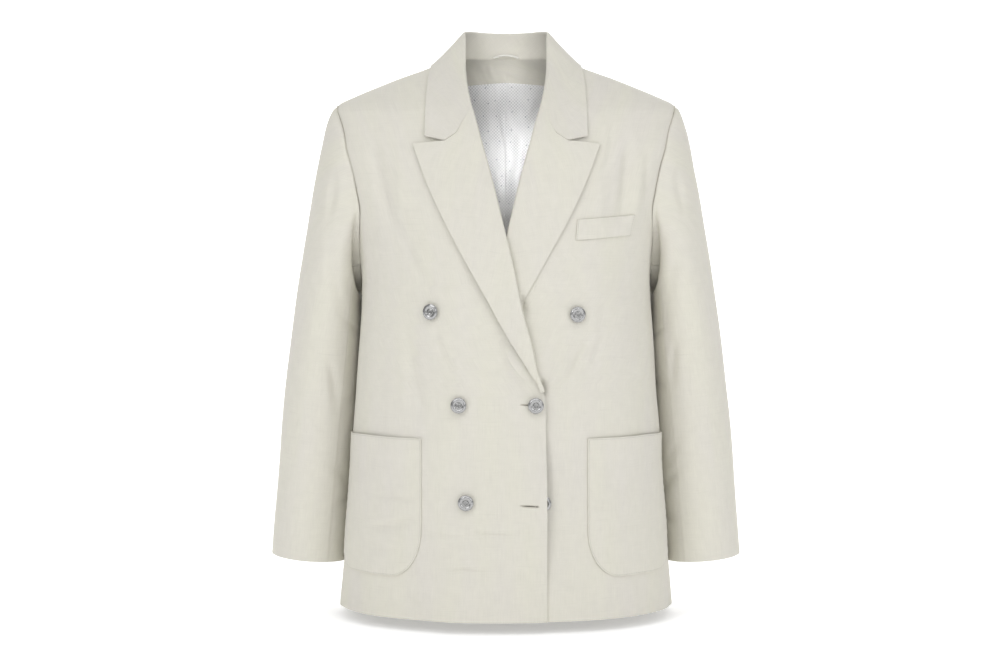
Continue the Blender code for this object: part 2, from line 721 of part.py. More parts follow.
def sleeve_pieces():
    """Top and under sleeve: turns of their two seams at armhole and cuff, and their columns as shares."""
    front, back = np.radians(SLEEVE_SEAMS["front"]), np.radians(SLEEVE_SEAMS["back"])
    gap = np.array([0.0036, 0.0034])
    for name, start, end in (("top", back, front), ("under", front, back + 2 * math.pi)):
        steps = round((end[0] - start[0]) / (math.pi / ARMHOLE_STEPS))
        shares = np.arange(steps + 1) / steps
        shares = np.sort([*shares, 0.2 / steps, 1 - 0.2 / steps])
        yield name, start + gap, end - gap, shares


# ---------------------------------------------------------------- what lies on the panels


def patch_grid(panel, heights, corner_steps):
    """A patch pocket with round lower corners, on the facets of its front, moved out."""
    inner, width, top, bottom, corner = PATCH_POCKET.values()
    turns = np.linspace(0.05, math.pi / 2, corner_steps)
    rows = [*(bottom + corner * (1 - np.cos(turns))), bottom, top]
    rows += [height for height in heights if bottom + 0.006 < height < top - 0.006]
    sides = []
    for height in sorted(rows):
        drop = max(0.0, bottom + corner - height)
        inset = corner - math.sqrt(max(0.0, corner**2 - drop**2))
        row = row_at(panel, heights, height)
        sides.append((height, row, column_at(row, inner, inset), column_at(row, inner, width - inset)))
    lines = np.arange(math.ceil(min(low for *_, low, _ in sides)), max(high for *_, high in sides))
    grid = []
    for height, row, low, high in sides:
        columns = [low, *np.clip(lines, low, high), high]
        points = [point_at(row, column) for column in columns]
        grid.append([moved_out(point, SEAM_GAP + POCKET_CLOTH) for point in points])
    return np.array(grid)


def breast_grid(panel, heights):
    """The breast pocket's welt, a slightly slanted strip on the facets of the +X front, moved out."""
    inner, width, low, height, rise = BREAST_POCKET.values()
    middle_row = row_at(panel, heights, low)
    first, last = (column_at(middle_row, inner, d) for d in (0.0, width))
    columns = [first, *range(math.ceil(first), math.ceil(last)), last]
    grid = []
    for share in (0.0, 0.5, 1.0):
        row = []
        for column in columns:
            bottom = low + rise * (column - first) / (last - first)
            inside = [h for h in heights if bottom + 0.003 < h < bottom + height - 0.003]
            middle = inside[0] if inside else bottom + height / 2
            level = {0.0: bottom, 0.5: middle, 1.0: bottom + height}[share]
            point = point_at(row_at(panel, heights, level), column)
            row.append(moved_out(point, SEAM_GAP + POCKET_CLOTH))
        grid.append(row)
    return np.array(grid)


def inside_back(panel, heights, low, high, columns, clearance):
    """A sheet across the inside of both back panels, between two levels given for each of their columns."""
    levels = sorted({*low, *high, *[h for h in heights if min(low) < h < max(high)]})
    half = []
    for column, bottom, top in zip(columns, low, high):
        points = [point_at(row_at(panel, heights, np.clip(h, bottom, top)), column) for h in levels]
        half.append([moved_out(point, -clearance) for point in points])
    half = np.array(half)
    half[-1][:, 0] = 0.0
    other = half[-2::-1] * np.array([-1.0, 1.0, 1.0])
    return np.concatenate([half, other]).transpose(1, 0, 2)


# ---------------------------------------------------------------- buttons and loop


def button(number, body, collection, look):
    """A turned metal button with its shank, standing square to the cloth it is sewn to."""
    side, x, height, stand = (BUTTONS[name][number] for name in BUTTONS)
    radii, levels = BUTTON_PROFILE["radius"], BUTTON_PROFILE["height"] - BUTTON_PROFILE["height"].min()
    profile = [(r, 0.0, z + stand) for r, z in zip(radii, levels)]
    profile += [(SHANK_RADIUS, 0.0, 0.0), (0.0, 0.0, 0.0)]
    name = f"button_{number + 1}"
    mesh = bpy.data.meshes.new(name)
    mesh.from_pydata(profile, [(i, i + 1) for i in range(len(profile) - 1)], [])
    turned = bpy.data.objects.new(name, mesh)
    screw = turned.modifiers.new("turn", "SCREW")
    screw.steps = screw.render_steps = 16
    screw.use_merge_vertices = True
    screw.merge_threshold = 0.0001
    screw.use_smooth_shade = True
    near, normal, *_ = body.find_nearest(Vector(front_point(side, x, height).tolist()))
    to_side = Vector((side, 1.0, 1.0))
    turned.location = (near + normal * SEAM_GAP) * to_side
    turned.rotation_mode = "QUATERNION"
    turned.rotation_quaternion = (normal * to_side).to_track_quat("Z", "Y")
    return placed(turned, collection, look)


def hanger_loop(ribs, collection, look):
    """The short loop sewn into the collar seam at the centre back, just off the inside of the stand."""
    curve = bpy.data.curves.new("hanger_loop", "CURVE")
    curve.dimensions = "3D"
    curve.bevel_depth = LOOP["radius"]
    curve.bevel_resolution = 2
    curve.use_fill_caps = True
    spline = curve.splines.new("POLY")
    places = np.linspace(-1.0, 1.0, 9)
    spline.points.add(len(places) - 1)
    middle, beside = collar_rib(0.0), collar_rib(8.0 / ribs)
    for point, place in zip(spline.points, places):
        x = abs(place) * LOOP["half_width"]
        seam, above = (middle[k] + (beside[k] - middle[k]) * x / beside[k][0] for k in (0, 1))
        height = LOOP["height"] + LOOP["rise"] * (1 - place**2)
        stand = seam + (above - seam) * (height - seam[2]) / (above[2] - seam[2])
        y = stand[1] - SEAM_GAP - LOOP["radius"] - LOOP["bow"] * (1 - place**2)
        point.co = (place * LOOP["half_width"], y, height, 1.0)
    return placed(bpy.data.objects.new("hanger_loop", curve), collection, look)


def buttonhole_cutters(collection):
    """Slots through the lapping front, as long as the buttonholes."""
    made = []
    for number, (start, end, height) in enumerate(zip(*BUTTONHOLES.values())):
        middle = front_point(-1, (start + end) / 2, height, -FRONT_CLOTH / 2)
        normal = torso_normal(angle_at_x((start + end) / 2, height), height)
        bpy.ops.mesh.primitive_cube_add(size=1.0)
        slot = bpy.context.object
        slot.name = f"cut_buttonhole_{number + 1}"
        slot.scale = (end - start, 0.008, BUTTONHOLE_WIDTH)
        slot.location = middle * np.array([-1.0, 1.0, 1.0])
        slot.rotation_euler = (0.0, 0.0, math.atan2(-normal[0], -normal[1]) * -1)
        slot.hide_render = True
        slot.display_type = "WIRE"
        for owner in list(slot.users_collection):
            owner.objects.unlink(slot)
        collection.objects.link(slot)
        made.append(slot)
    return made


def main():
    for obj in list(bpy.data.objects):
        bpy.data.objects.remove(obj)
    jacket = bpy.data.collections.new("jacket")
    cutters = bpy.data.collections.new("cutters")
    for collection in (jacket, cutters):
        bpy.context.scene.collection.children.link(collection)
    linen = material("linen", (0.70, 0.68, 0.60), 0.9)
    lining = material("lining", (0.82, 0.82, 0.84), 0.6)
    metal = material("button_metal", (0.62, 0.62, 0.63), 0.3, 1.0)

    heights = panel_heights(6, ARMHOLE_STEPS, 5)
    bodies = {}
    for side, name in {1: "left", -1: "right"}.items():
        panel = front_grid(side, heights, 11)
        front = cloth(f"front_{name}", panel, FRONT_CLOTH, jacket, linen, side)
        if side < 0:
            for slot in buttonhole_cutters(cutters):
                cut = front.modifiers.new(slot.name, "BOOLEAN")
                cut.operation = "DIFFERENCE"
                cut.object = slot
        back = back_grid(side, heights, 7)
        cloth(f"back_{name}", back, BODY_CLOTH, jacket, linen, side)
        body = bodies[side] = facets(panel, back)

        lapel = lapel_grid(side, heights, 4)
        lapel[:, 6:] = laid_on(lapel[:, 6:], body, LAYER_GAP + LAPEL_CLOTH)
        cloth(f"lapel_{name}", lapel, LAPEL_CLOTH, jacket, linen, side)

        pocket = laid_on(patch_grid(panel, heights, 5), body, SEAM_GAP + POCKET_CLOTH)
        cloth(f"patch_pocket_{name}", pocket, POCKET_CLOTH, jacket, linen, side)

        for piece, start, end, shares in sleeve_pieces():
            skin = sleeve_grid(12, start, end, shares)[:, ::-1]
            cloth(f"{piece}_sleeve_{name}", skin, BODY_CLOTH, jacket, linen, side)

    # The last pass was the -X side. What follows is on +X, or the same on both halves.
    panel, back = front_grid(1, heights, 11), back_grid(1, heights, 7)
    welt = laid_on(breast_grid(panel, heights), bodies[1], LAYER_GAP + POCKET_CLOTH)
    cloth("breast_pocket_welt", welt, POCKET_CLOTH, jacket, linen)
    cloth("collar", collar_grid(COLLAR_RIBS, bodies[1]), COLLAR_CLOTH, jacket, linen, mirror="rows")

    columns = [0.6, *range(1, 8)]
    facing_low = read(FACING_EDGE, "height", np.array(columns))
    facing_top = [NECK - 0.002] * len(columns)
    facing = inside_back(back, heights, facing_low, facing_top, columns, INSIDE_GAP)
    cloth("back_neck_facing", facing, FACING_CLOTH, jacket, linen, mirror="columns")
    lining_low = [LINING_HEM] * len(columns)
    sheet = inside_back(back, heights, lining_low, facing_low - SEAM_GAP, columns, INSIDE_GAP)
    cloth("back_lining", sheet, LINING_CLOTH, jacket, lining, mirror="columns")
    hanger_loop(COLLAR_RIBS, jacket, lining)
    for number, side in enumerate(BUTTONS["side"]):
        button(number, bodies[side], jacket, metal)


main()
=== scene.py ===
"""A double-breasted jacket in slubby cream linen, worn by nobody, standing on a pale studio floor."""

import math

import bmesh
import bpy
import numpy as np
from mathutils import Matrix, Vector


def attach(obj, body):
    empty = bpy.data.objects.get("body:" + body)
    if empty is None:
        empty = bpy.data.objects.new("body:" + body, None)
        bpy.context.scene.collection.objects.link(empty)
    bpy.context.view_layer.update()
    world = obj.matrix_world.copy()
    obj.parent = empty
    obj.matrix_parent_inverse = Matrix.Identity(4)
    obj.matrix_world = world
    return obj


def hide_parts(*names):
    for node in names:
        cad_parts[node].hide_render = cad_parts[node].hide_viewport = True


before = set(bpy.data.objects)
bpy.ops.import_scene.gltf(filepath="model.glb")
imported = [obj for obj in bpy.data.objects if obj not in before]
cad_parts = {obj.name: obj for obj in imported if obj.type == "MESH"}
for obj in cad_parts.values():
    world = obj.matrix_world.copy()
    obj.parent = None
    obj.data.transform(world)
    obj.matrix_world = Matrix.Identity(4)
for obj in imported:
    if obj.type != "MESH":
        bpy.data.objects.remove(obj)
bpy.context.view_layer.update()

# -------- sizes, in metres

# How thick each piece is where it is one shell.
FRONT_CLOTH = 0.0018
BODY_CLOTH = 0.0015
LAPEL_CLOTH = 0.0018
COLLAR_CLOTH = 0.0020
POCKET_CLOTH = 0.0014
FACING_CLOTH = 0.0010
LINING_CLOTH = 0.0010
# Pieces that are sewn together, or lie on each other, stay this far apart.
SEAM_GAP = 0.0003
LAYER_GAP = 0.0004
# Heights on the jacket and of the studio's floor, then the depth of the form's side line.
HEM = -0.703
BREAK = -0.4165
UNDERARM = -0.285
SHOULDER_TIP = -0.058
GORGE = -0.069
NECK = 0.006
FLOOR = -0.7183
SIDE_LINE = -0.010
# The right front (side -1) laps over the left one (side 1).
LAYER = {1: "under", -1: "over"}


def table(names, *rows):
    """A short table as a dict from column name to an array."""
    return dict(zip(names.split(), np.array(rows, float).T))


# Horizontal sections of the body form: half width, depth before and behind the side line.
TORSO = table(
    "height half_width front back roundness",
    (-0.703, 0.2165, 0.139, 0.128, 2.2), (-0.586, 0.2065, 0.137, 0.122, 2.25),
    (-0.482, 0.1985, 0.134, 0.116, 2.3), (-0.413, 0.194, 0.132, 0.112, 2.35),
    (-0.348, 0.189, 0.131, 0.113, 2.4), (-0.285, 0.186, 0.129, 0.118, 2.4),
    (-0.22, 0.193, 0.124, 0.124, 2.4), (-0.18, 0.2035, 0.118, 0.126, 2.4),
    (-0.146, 0.2128, 0.11, 0.126, 2.35), (-0.108, 0.2212, 0.099, 0.122, 2.3),
    (-0.069, 0.221, 0.08, 0.112, 2.25), (-0.058, 0.2152, 0.072, 0.108, 2.2),
    (-0.048, 0.1955, 0.064, 0.103, 2.2), (-0.0375, 0.1705, 0.056, 0.098, 2.2),
    (-0.0245, 0.138, 0.043, 0.09, 2.2), (-0.0105, 0.099, 0.029, 0.081, 2.2),
    (-0.003, 0.082, 0.021, 0.075, 2.2), (0.006, 0.07, 0.014, 0.066, 2.2),
)
# The inner edge of a front: the plain edge below the break, then inside the lapel's roll, then the neck.
FRONT_EDGE = table(
    "height over under",
    (HEM, -0.051, -0.06), (-0.56, -0.0495, -0.06), (-0.43, -0.048, -0.06), (BREAK, -0.0454, -0.046),
    (-0.4044, -0.0411, -0.0428), (-0.38, -0.0329, -0.0369), (-0.354, -0.0264, -0.0304),
    (-0.3289, -0.0193, -0.0242), (-0.309, -0.0143, -0.0193), (-0.2663, -0.0058, -0.0077),
    (-0.22, 0.0052, 0.005), (-0.151, 0.022, 0.022), (-0.108, 0.034, 0.034), (GORGE, 0.045, 0.045),
    (-0.04, 0.0575, 0.0575), (-0.009, 0.0655, 0.0655), (NECK - 0.001, 0.0695, 0.0695),
)
# Puff under the roll: the lapel stands off its front this much, the hidden one lies flatter lower down.
ROLL_HEIGHT = table(
    "height over under",
    (BREAK, 0.0008, 0.0008), (-0.33, 0.0022, 0.0008), (-0.25, 0.0024, 0.0008), (-0.195, 0.0024, 0.0022),
    (GORGE, 0.0024, 0.0024),
)
# The lapel's free edge, from its lower tip up to the peak, against the roll's height on the same row, and
# how far it stands off the front there.
LAPEL_EDGE = table(
    "row over_x under_x height over under",
    (0.0, -0.0453, -0.0459, -0.4171, 0.0002, 0.0002), (0.03, -0.0374, -0.0395, -0.4055, 0.0012, 0.0003),
    (0.07, -0.0264, -0.03, -0.3885, 0.0028, 0.0004), (0.18, 0.0003, -0.001, -0.345, 0.0046, 0.0004),
    (0.31, 0.0252, 0.0242, -0.299, 0.0042, 0.0004), (0.44, 0.0502, 0.0494, -0.254, 0.003, 0.0008),
    (0.59, 0.0785, 0.0788, -0.2, 0.0022, 0.002), (0.75, 0.099, 0.0994, -0.156, 0.0018, 0.0018),
    (1.0, 0.1158, 0.1168, -0.1105, 0.0016, 0.0016),
)
NECK_SEAM = table("rib height", (4, NECK - 0.001), (5, -0.007), (6, -0.020), (7, -0.040), (8, GORGE))
GORGE_LINE = table(
    "across x height",
    (0.0, 0.045, GORGE), (0.3, 0.062, -0.098), (0.5, 0.076, -0.107), (1.0, 0.117, -0.11),
)
COLLAR_END = table(
    "across x height",
    (0.0, 0.045, GORGE), (0.36, 0.062, -0.098), (0.62, 0.076, -0.1072), (1.0, 0.1005, -0.1015),
)
# Collar ribs from the centre back (0) to the gorge (8): where it folds over and where it ends.
COLLAR = table(
    "rib fold_x fold_y fold_z edge_x edge_y edge_z",
    (0, 0.0, 0.066, 0.0401, 0.0, 0.076, -0.012), (1, 0.023, 0.063, 0.0404, 0.036, 0.073, -0.012),
    (2, 0.0415, 0.051, 0.0411, 0.067, 0.056, -0.012), (3, 0.051, 0.03, 0.0398, 0.084, 0.03, -0.01),
    (4, 0.054, 0.004, 0.036, 0.0912, 0.002, -0.007), (5, 0.054, -0.018, 0.022, 0.095, -0.024, -0.017),
    (6, 0.053, -0.038, -0.0035, 0.0982, -0.05, -0.04), (7, 0.0495, -0.069, -0.035, 0.0998, -0.074, -0.07),
    (8, 0.041, -0.086, GORGE, 0.1005, -0.094, -0.1015),
)
# Rings of a sleeve from the armhole to the cuff: its outer and inner contour seen from the front.
SLEEVE = table(
    "ring outer_x outer_z inner_x inner_z half_depth centre_y",
    (0.0, 0.2152, -0.058, 0.186, -0.285, 0.066, 0.004), (0.5, 0.2223, -0.065, 0.1868, -0.287, 0.067, 0.004),
    (1.0, 0.2291, -0.079, 0.1875, -0.29, 0.068, 0.005), (2.0, 0.2383, -0.112, 0.1885, -0.296, 0.07, 0.007),
    (3.0, 0.2473, -0.154, 0.189, -0.304, 0.071, 0.01), (4.0, 0.257, -0.206, 0.189, -0.316, 0.071, 0.014),
    (5.0, 0.2673, -0.263, 0.1885, -0.334, 0.07, 0.018), (6.0, 0.2776, -0.329, 0.1885, -0.366, 0.068, 0.022),
    (7.0, 0.2882, -0.402, 0.1915, -0.419, 0.065, 0.025), (8.0, 0.296, -0.482, 0.197, -0.491, 0.061, 0.026),
    (9.0, 0.3028, -0.564, 0.203, -0.57, 0.056, 0.024), (10.0, 0.3089, -0.643, 0.209, -0.6515, 0.052, 0.02),
)
SLEEVE_WELT = 0.0004
# For folds and weave a sleeve counts as a tube of this radius, its rings this far apart.
TURN_RADIUS = 0.056
RING_PITCH = 0.062
SLEEVE_SEAMS = table("ring front back", (0, 144, -126), (10, 122, -116))
# Lower edge of the back neck facing, by how far round the back it is from the shoulder seam.
FACING_EDGE = table(
    "share height",
    (0.016, -0.012), (0.032, -0.016), (0.194, -0.026), (0.355, -0.033), (0.516, -0.034), (0.677, -0.0315),
    (0.839, -0.0265), (1.0, -0.0235),
)
LINING_HEM = -0.300
INSIDE_GAP = BODY_CLOTH + LAYER_GAP
# Radius of the collar's fold, arch of its fall, and steps up its stand, over the fold and down the fall.
COLLAR_ROLL = 0.0036
FALL_ARCH = 0.003
STAND_STEPS, FOLD_STEPS, FALL_STEPS = 9, 12, 26
# The lapel's roll is centred this far past its front's edge, and it ends this far below the collar.
FOLD_LEAD = 0.0010
GORGE_GAP = 0.0004
# Near the break it runs out over this height. Its upper face bellies out this much half way across.
ROLL_OUT = 0.050
LAPEL_BELLY = 0.0012
# Every crease, though not the FOLDS, is this many times as deep as its row says.
PRESS = 2.1
# The unevenness of a cloth: length and height of its waves.
BODY_WAVES = dict(pitch=0.07, rise=0.0006)
SLEEVE_WAVES = dict(pitch=0.06, rise=0.0004)
POCKET_WAVES = dict(pitch=0.05, rise=0.0003)
# Slopes of the form are taken over this distance either way.
STEP = 0.004
ARMHOLE_GAP = 0.0009
ARMHOLE_MIDDLE = (UNDERARM + SHOULDER_TIP) / 2
ARMHOLE_HALF = (SHOULDER_TIP - UNDERARM) / 2
ARMHOLE_REACH = 0.066
# How much further forward the armhole's front edge is cut, from under the arm (-1) to the shoulder tip (1).
ARMHOLE_SCOOP = table(
    "level forward",
    (-1.0, 0.0), (-0.7, 0.0), (-0.43, 0.0035), (-0.16, 0.01), (0.02, 0.006), (0.29, 0.0), (0.58, -0.0042),
    (0.8, -0.0055), (0.93, -0.003), (1.0, 0.0),
)
SIDE_SEAM = table("height y", (HEM, 0.034), (-0.45, 0.026), (UNDERARM, 0.018))
# How far the lapping front is carried clear of the one below, by height, and where it settles back.
LAP = table("height lift", (HEM, 0.0060), (-0.240, 0.0062), (-0.110, 0.0), (NECK, 0.0))
LAP_FROM, LAP_TO = 0.056, 0.125
# The unfastened button under it lifts it here.
BUTTON_BUMP = dict(x=-0.052, height=-0.553, reach_x=0.045, reach_z=0.058, rise=0.0062)
# Below the fastened button the lapping front's edge is pressed down towards the one below.
PRESSED_EDGE = dict(drop=0.0030, inner=-0.031, reach=0.015, top=-0.440, fade=0.03)
# The largest folds: middle, slope seen from the front, half length, half width and depth (+ is a ridge).
FOLDS = table(
    "side x height slope_deg length width depth",
    (-1, 0.15, -0.19, 82, 0.11, 0.022, -0.003), (1, 0.145, -0.18, 84, 0.11, 0.02, -0.0032),
    (1, 0.11, -0.33, 86, 0.12, 0.018, 0.0026),
)
BUTTONS = table(
    "side x height stand",
    (-1, 0.0915, -0.318, 0.0016), (-1, 0.0575, -0.433, 0.0016), (-1, 0.049, -0.5535, 0.0016),
    (1, 0.088, -0.321, 0.0016), (1, 0.0365, -0.4325, 0.0085), (1, 0.0455, -0.5545, 0.003),
)
BUTTONHOLES = table("x_from x_to height", (-0.0415, -0.0180, -0.4325), (-0.0395, -0.0180, -0.5570))
# The patch pockets' mouths rise this much towards their inner edges.
PATCH_POCKET = dict(width=0.158, top=-0.4790, bottom=-0.6500, corner=0.044, corner_height=0.060, rise=0.0035)
PATCH_INNER = {1: 0.1015, -1: 0.1050}
# How far a patch pocket's middle, open mouth, folded hem and the puckers along its seam stand up.
POCKET_PUFF, POCKET_MOUTH, POCKET_FOLD, POCKET_PUCKER = 0.0010, 0.0006, 0.0003, 0.00022
POCKET_HEM = 0.0265
PUCKER_PITCH = 0.0115
BREAST_POCKET = dict(inner=0.0860, width=0.078, low=-0.2298, height=0.0255, rise=0.0060, puff=0.0006)
LOOP = dict(half_width=0.0165, height=0.0070, rise=0.0035, bow=0.0016, radius=0.0012)

# -------- creases, placed one by one

# Seen square on: middle, slope, half length, half width and depth (+ is a ridge), how far its middle bends
# to one side of its ends, and how much softer lips stand up beside it.
FRONT_CREASES = table(
    "side x height slope_deg length width depth bend lips",
    # The over front: drape from the armhole, pulls between the buttons, pressed lines low down.
    (-1, 0.156, -0.165, 76, 0.08, 0.0095, -0.0017, 0.002, 0.5),
    (-1, 0.118, -0.25, 60, 0.058, 0.01, -0.0013, 0.003, 0.4),
    (-1, 0.131, -0.16, 88, 0.05, 0.012, 0.0012, 0.0, 0.3),
    (-1, 0.116, -0.39, 80, 0.078, 0.01, -0.0015, 0.006, 0.5),
    (-1, 0.076, -0.376, 68, 0.048, 0.007, -0.0013, 0.004, 0.6),
    (-1, 0.029, -0.5925, -2.3, 0.082, 0.0022, -0.0008, 0.0, 0.7),
    (-1, 0.05, -0.6365, 0, 0.028, 0.0024, -0.001, -0.002, 0.7),
    (-1, 0.069, -0.6225, -27, 0.02, 0.0034, 0.0006, 0.001, 0.5),
    (-1, 0.139, -0.5505, 0, 0.034, 0.0055, -0.0011, 0.002, 0.6),
    (-1, 0.142, -0.586, -16, 0.042, 0.006, -0.0013, 0.004, 0.6),
    (-1, 0.155, -0.617, -8, 0.026, 0.005, -0.0009, 0.002, 0.6),
    (-1, 0.112, -0.685, 22, 0.028, 0.006, -0.0009, 0.002, 0.4),
    (-1, 0.038, -0.683, 88, 0.022, 0.007, -0.0006, 0.0, 0.4),
    (-1, -0.014, -0.47, 84, 0.06, 0.014, 0.0006, 0.0, 0.2),
    (-1, 0.06, -0.51, 40, 0.04, 0.012, -0.0006, 0.003, 0.3),
    (-1, -0.016, -0.383, 58, 0.056, 0.0125, -0.004, 0.002, 0.0),
    # The under front: drape over the welt, pulls that run from the fastened button, puckers by the pocket.
    (1, 0.151, -0.155, 86, 0.062, 0.0085, -0.0021, 0.002, 0.5),
    (1, 0.13, -0.117, 78, 0.034, 0.0065, -0.0011, 0.002, 0.4),
    (1, 0.166, -0.167, 80, 0.044, 0.009, 0.0012, 0.0, 0.3),
    (1, 0.176, -0.155, 87, 0.048, 0.0055, -0.0008, 0.0, 0.3),
    (1, 0.118, -0.183, 83, 0.034, 0.0085, 0.0009, 0.0, 0.3),
    (1, 0.118, -0.321, 78, 0.022, 0.0065, -0.0007, 0.0, 0.4),
    (1, 0.087, -0.382, 63, 0.044, 0.0055, -0.0017, 0.002, 0.6),
    (1, 0.111, -0.371, 69, 0.038, 0.005, -0.0011, 0.002, 0.6),
    (1, 0.069, -0.379, 65, 0.046, 0.007, 0.0014, 0.001, 0.4),
    (1, 0.052, -0.349, 65, 0.018, 0.0034, -0.0006, 0.0, 0.4),
    (1, 0.076, -0.652, -38, 0.018, 0.0045, -0.0008, 0.001, 0.5),
    (1, 0.114, -0.563, 2, 0.018, 0.0045, -0.0008, 0.001, 0.5),
    (1, 0.132, -0.518, 84, 0.03, 0.012, -0.0011, 0.0, 0.4),
    (1, 0.0995, -0.622, 85, 0.02, 0.0028, -0.0006, 0.0, 0.6),
    (1, 0.109, -0.675, -62, 0.022, 0.0075, -0.001, 0.0, 0.4),
    (1, 0.15, -0.595, 20, 0.034, 0.007, -0.0008, 0.003, 0.5),
    (1, 0.02, -0.64, 86, 0.055, 0.014, -0.0008, 0.0, 0.3),
    (1, 0.0212, -0.311, 102, 0.017, 0.004, -0.0028, 0.0, 0.1),
    (1, 0.0452, -0.411, 103, 0.013, 0.0036, -0.0034, 0.0, 0.1),
    (1, 0.0515, -0.51, 91, 0.06, 0.0028, -0.0014, 0.0, 0.1),
)
# The back, seen from behind: drape below the shoulder blades, a soft break at the waist, hem waves.
BACK_CREASES = table(
    "side x height slope_deg length width depth bend lips",
    (-1, 0.135, -0.19, 74, 0.09, 0.014, -0.0024, 0.004, 0.5),
    (-1, 0.07, -0.3, 80, 0.11, 0.02, -0.0018, -0.003, 0.4),
    (-1, 0.105, -0.44, 12, 0.06, 0.011, -0.0014, 0.004, 0.6),
    (-1, 0.06, -0.478, -8, 0.05, 0.008, -0.0009, 0.003, 0.6),
    (-1, 0.12, -0.62, 84, 0.08, 0.018, -0.002, 0.003, 0.4),
    (-1, 0.03, -0.655, 88, 0.05, 0.015, 0.0012, 0.0, 0.3),
    (1, 0.128, -0.2, 78, 0.095, 0.015, -0.0022, 0.003, 0.5),
    (1, 0.06, -0.27, 84, 0.1, 0.019, -0.0015, 0.003, 0.4),
    (1, 0.095, -0.43, -14, 0.055, 0.01, -0.0015, 0.003, 0.6),
    (1, 0.13, -0.47, 6, 0.05, 0.009, -0.001, -0.003, 0.6),
    (1, 0.11, -0.61, 80, 0.085, 0.02, -0.0018, -0.004, 0.4),
    (1, 0.04, -0.64, 86, 0.06, 0.013, -0.0009, 0.0, 0.4),
)
# The sleeves, unrolled: ring along the arm, turn round it, slope from round it (0) to along it (90).
SLEEVE_CREASES = table(
    "side ring turn_deg slope_deg length width depth bend lips",
    # Hollow beside the sleeve head, elbow breaks on the inner side, short ones above the cuff.
    (-1, 2.2, 68, 88, 0.062, 0.0085, -0.0014, 0.0, 0.5),
    (-1, 1.6, 151, 72, 0.095, 0.017, -0.0068, 0.01, 0.0),
    (-1, 7.0, 112, 72, 0.04, 0.0085, -0.0018, 0.003, 0.4),
    (-1, 5.5, 140, 25, 0.04, 0.009, -0.0006, 0.005, 0.5),
    (-1, 7.3, 150, -20, 0.034, 0.008, -0.0007, 0.004, 0.5),
    (-1, 8.6, 138, 32, 0.03, 0.0055, -0.0012, 0.003, 0.6),
    (-1, 9.0, 150, -12, 0.026, 0.005, -0.0011, 0.002, 0.6),
    (-1, 6.4, -60, -30, 0.06, 0.011, -0.0018, 0.006, 0.5),
    (-1, 5.2, -90, 20, 0.055, 0.012, -0.0015, 0.005, 0.5),
    (-1, 7.6, -80, 16, 0.05, 0.01, -0.0013, -0.004, 0.5),
    (-1, 4.2, 100, 74, 0.09, 0.015, -0.0009, 0.003, 0.3),
    (1, 2.1, 66, 90, 0.064, 0.008, -0.0016, 0.0, 0.5),
    (1, 1.5, 149, 72, 0.095, 0.0175, -0.007, 0.01, 0.0),
    (1, 6.6, 118, 80, 0.036, 0.008, -0.0013, 0.002, 0.4),
    (1, 5.7, 148, 20, 0.04, 0.009, -0.0007, 0.004, 0.5),
    (1, 7.0, 156, -14, 0.036, 0.008, -0.0008, 0.003, 0.5),
    (1, 8.2, 128, 40, 0.026, 0.005, -0.0011, 0.002, 0.6),
    (1, 8.7, 140, 28, 0.03, 0.0055, -0.0014, 0.003, 0.6),
    (1, 9.3, 150, -20, 0.026, 0.005, -0.0012, 0.002, 0.6),
    (1, 6.3, -70, 26, 0.06, 0.011, -0.0017, -0.006, 0.5),
    (1, 5.0, -96, -18, 0.055, 0.012, -0.0014, 0.005, 0.5),
    (1, 7.9, -76, -22, 0.05, 0.01, -0.0013, 0.004, 0.5),
    (1, 3.8, 104, 78, 0.08, 0.014, -0.0008, -0.003, 0.3),
)
# Soft wrinkles of the back neck facing and of the lining under it, seen from the front.
LINING_CREASES = table(
    "x height slope_deg length width depth bend lips",
    (0.001, -0.046, 87, 0.03, 0.0013, -0.0028, 0.001, 0.2),
    (0.032, -0.06, 70, 0.034, 0.007, 0.0018, 0.002, 0.4),
    (-0.03, -0.085, -84, 0.07, 0.012, -0.003, 0.002, 0.2),
    (-0.0135, -0.08, -80, 0.06, 0.006, -0.0026, 0.003, 0.5),
    (0.018, -0.13, 82, 0.05, 0.008, 0.0016, 0.003, 0.4),
    (-0.008, -0.175, -84, 0.04, 0.007, 0.0014, -0.002, 0.4),
)
FACING_CREASES = table(
    "x height slope_deg length width depth bend lips",
    (-0.034, -0.018, -58, 0.018, 0.0042, -0.0024, 0.002, 0.4),
    (-0.02, -0.012, -64, 0.014, 0.004, 0.0008, 0.002, 0.3),
    (0.016, -0.023, -20, 0.022, 0.0034, -0.0024, 0.002, 0.4),
    (0.034, -0.013, 58, 0.013, 0.0042, -0.0016, 0.0, 0.4),
)

# -------- reading tables


def smooth(keys, values, at):
    """A monotone cubic curve through (keys, values), read at `at`. It never overshoots its rows."""
    keys, values = np.asarray(keys, float), np.asarray(values, float)
    if keys[0] > keys[-1]:
        keys, values = keys[::-1], values[::-1]
    slopes = np.diff(values) / np.diff(keys)
    tangents = np.concatenate([slopes[:1], np.zeros(len(slopes) - 1), slopes[-1:]])
    same_way = slopes[:-1] * slopes[1:] > 0
    total = np.where(same_way, slopes[:-1] + slopes[1:], 1.0)
    tangents[1:-1] = np.where(same_way, 2 * slopes[:-1] * slopes[1:] / total, 0.0)
    at = np.clip(at, keys[0], keys[-1])
    row = np.clip(np.searchsorted(keys, at, side="right") - 1, 0, len(slopes) - 1)
    step = keys[row + 1] - keys[row]
    t = (at - keys[row]) / step
    return (
        values[row] * (1 + 2 * t) * (1 - t) ** 2
        + values[row + 1] * t * t * (3 - 2 * t)
        + step * tangents[row] * t * (1 - t) ** 2
        - step * tangents[row + 1] * t * t * (1 - t)
    )


def read(rows, column, at):
    """A column of a table at a value of the table's first column."""
    return smooth(next(iter(rows.values())), rows[column], at)


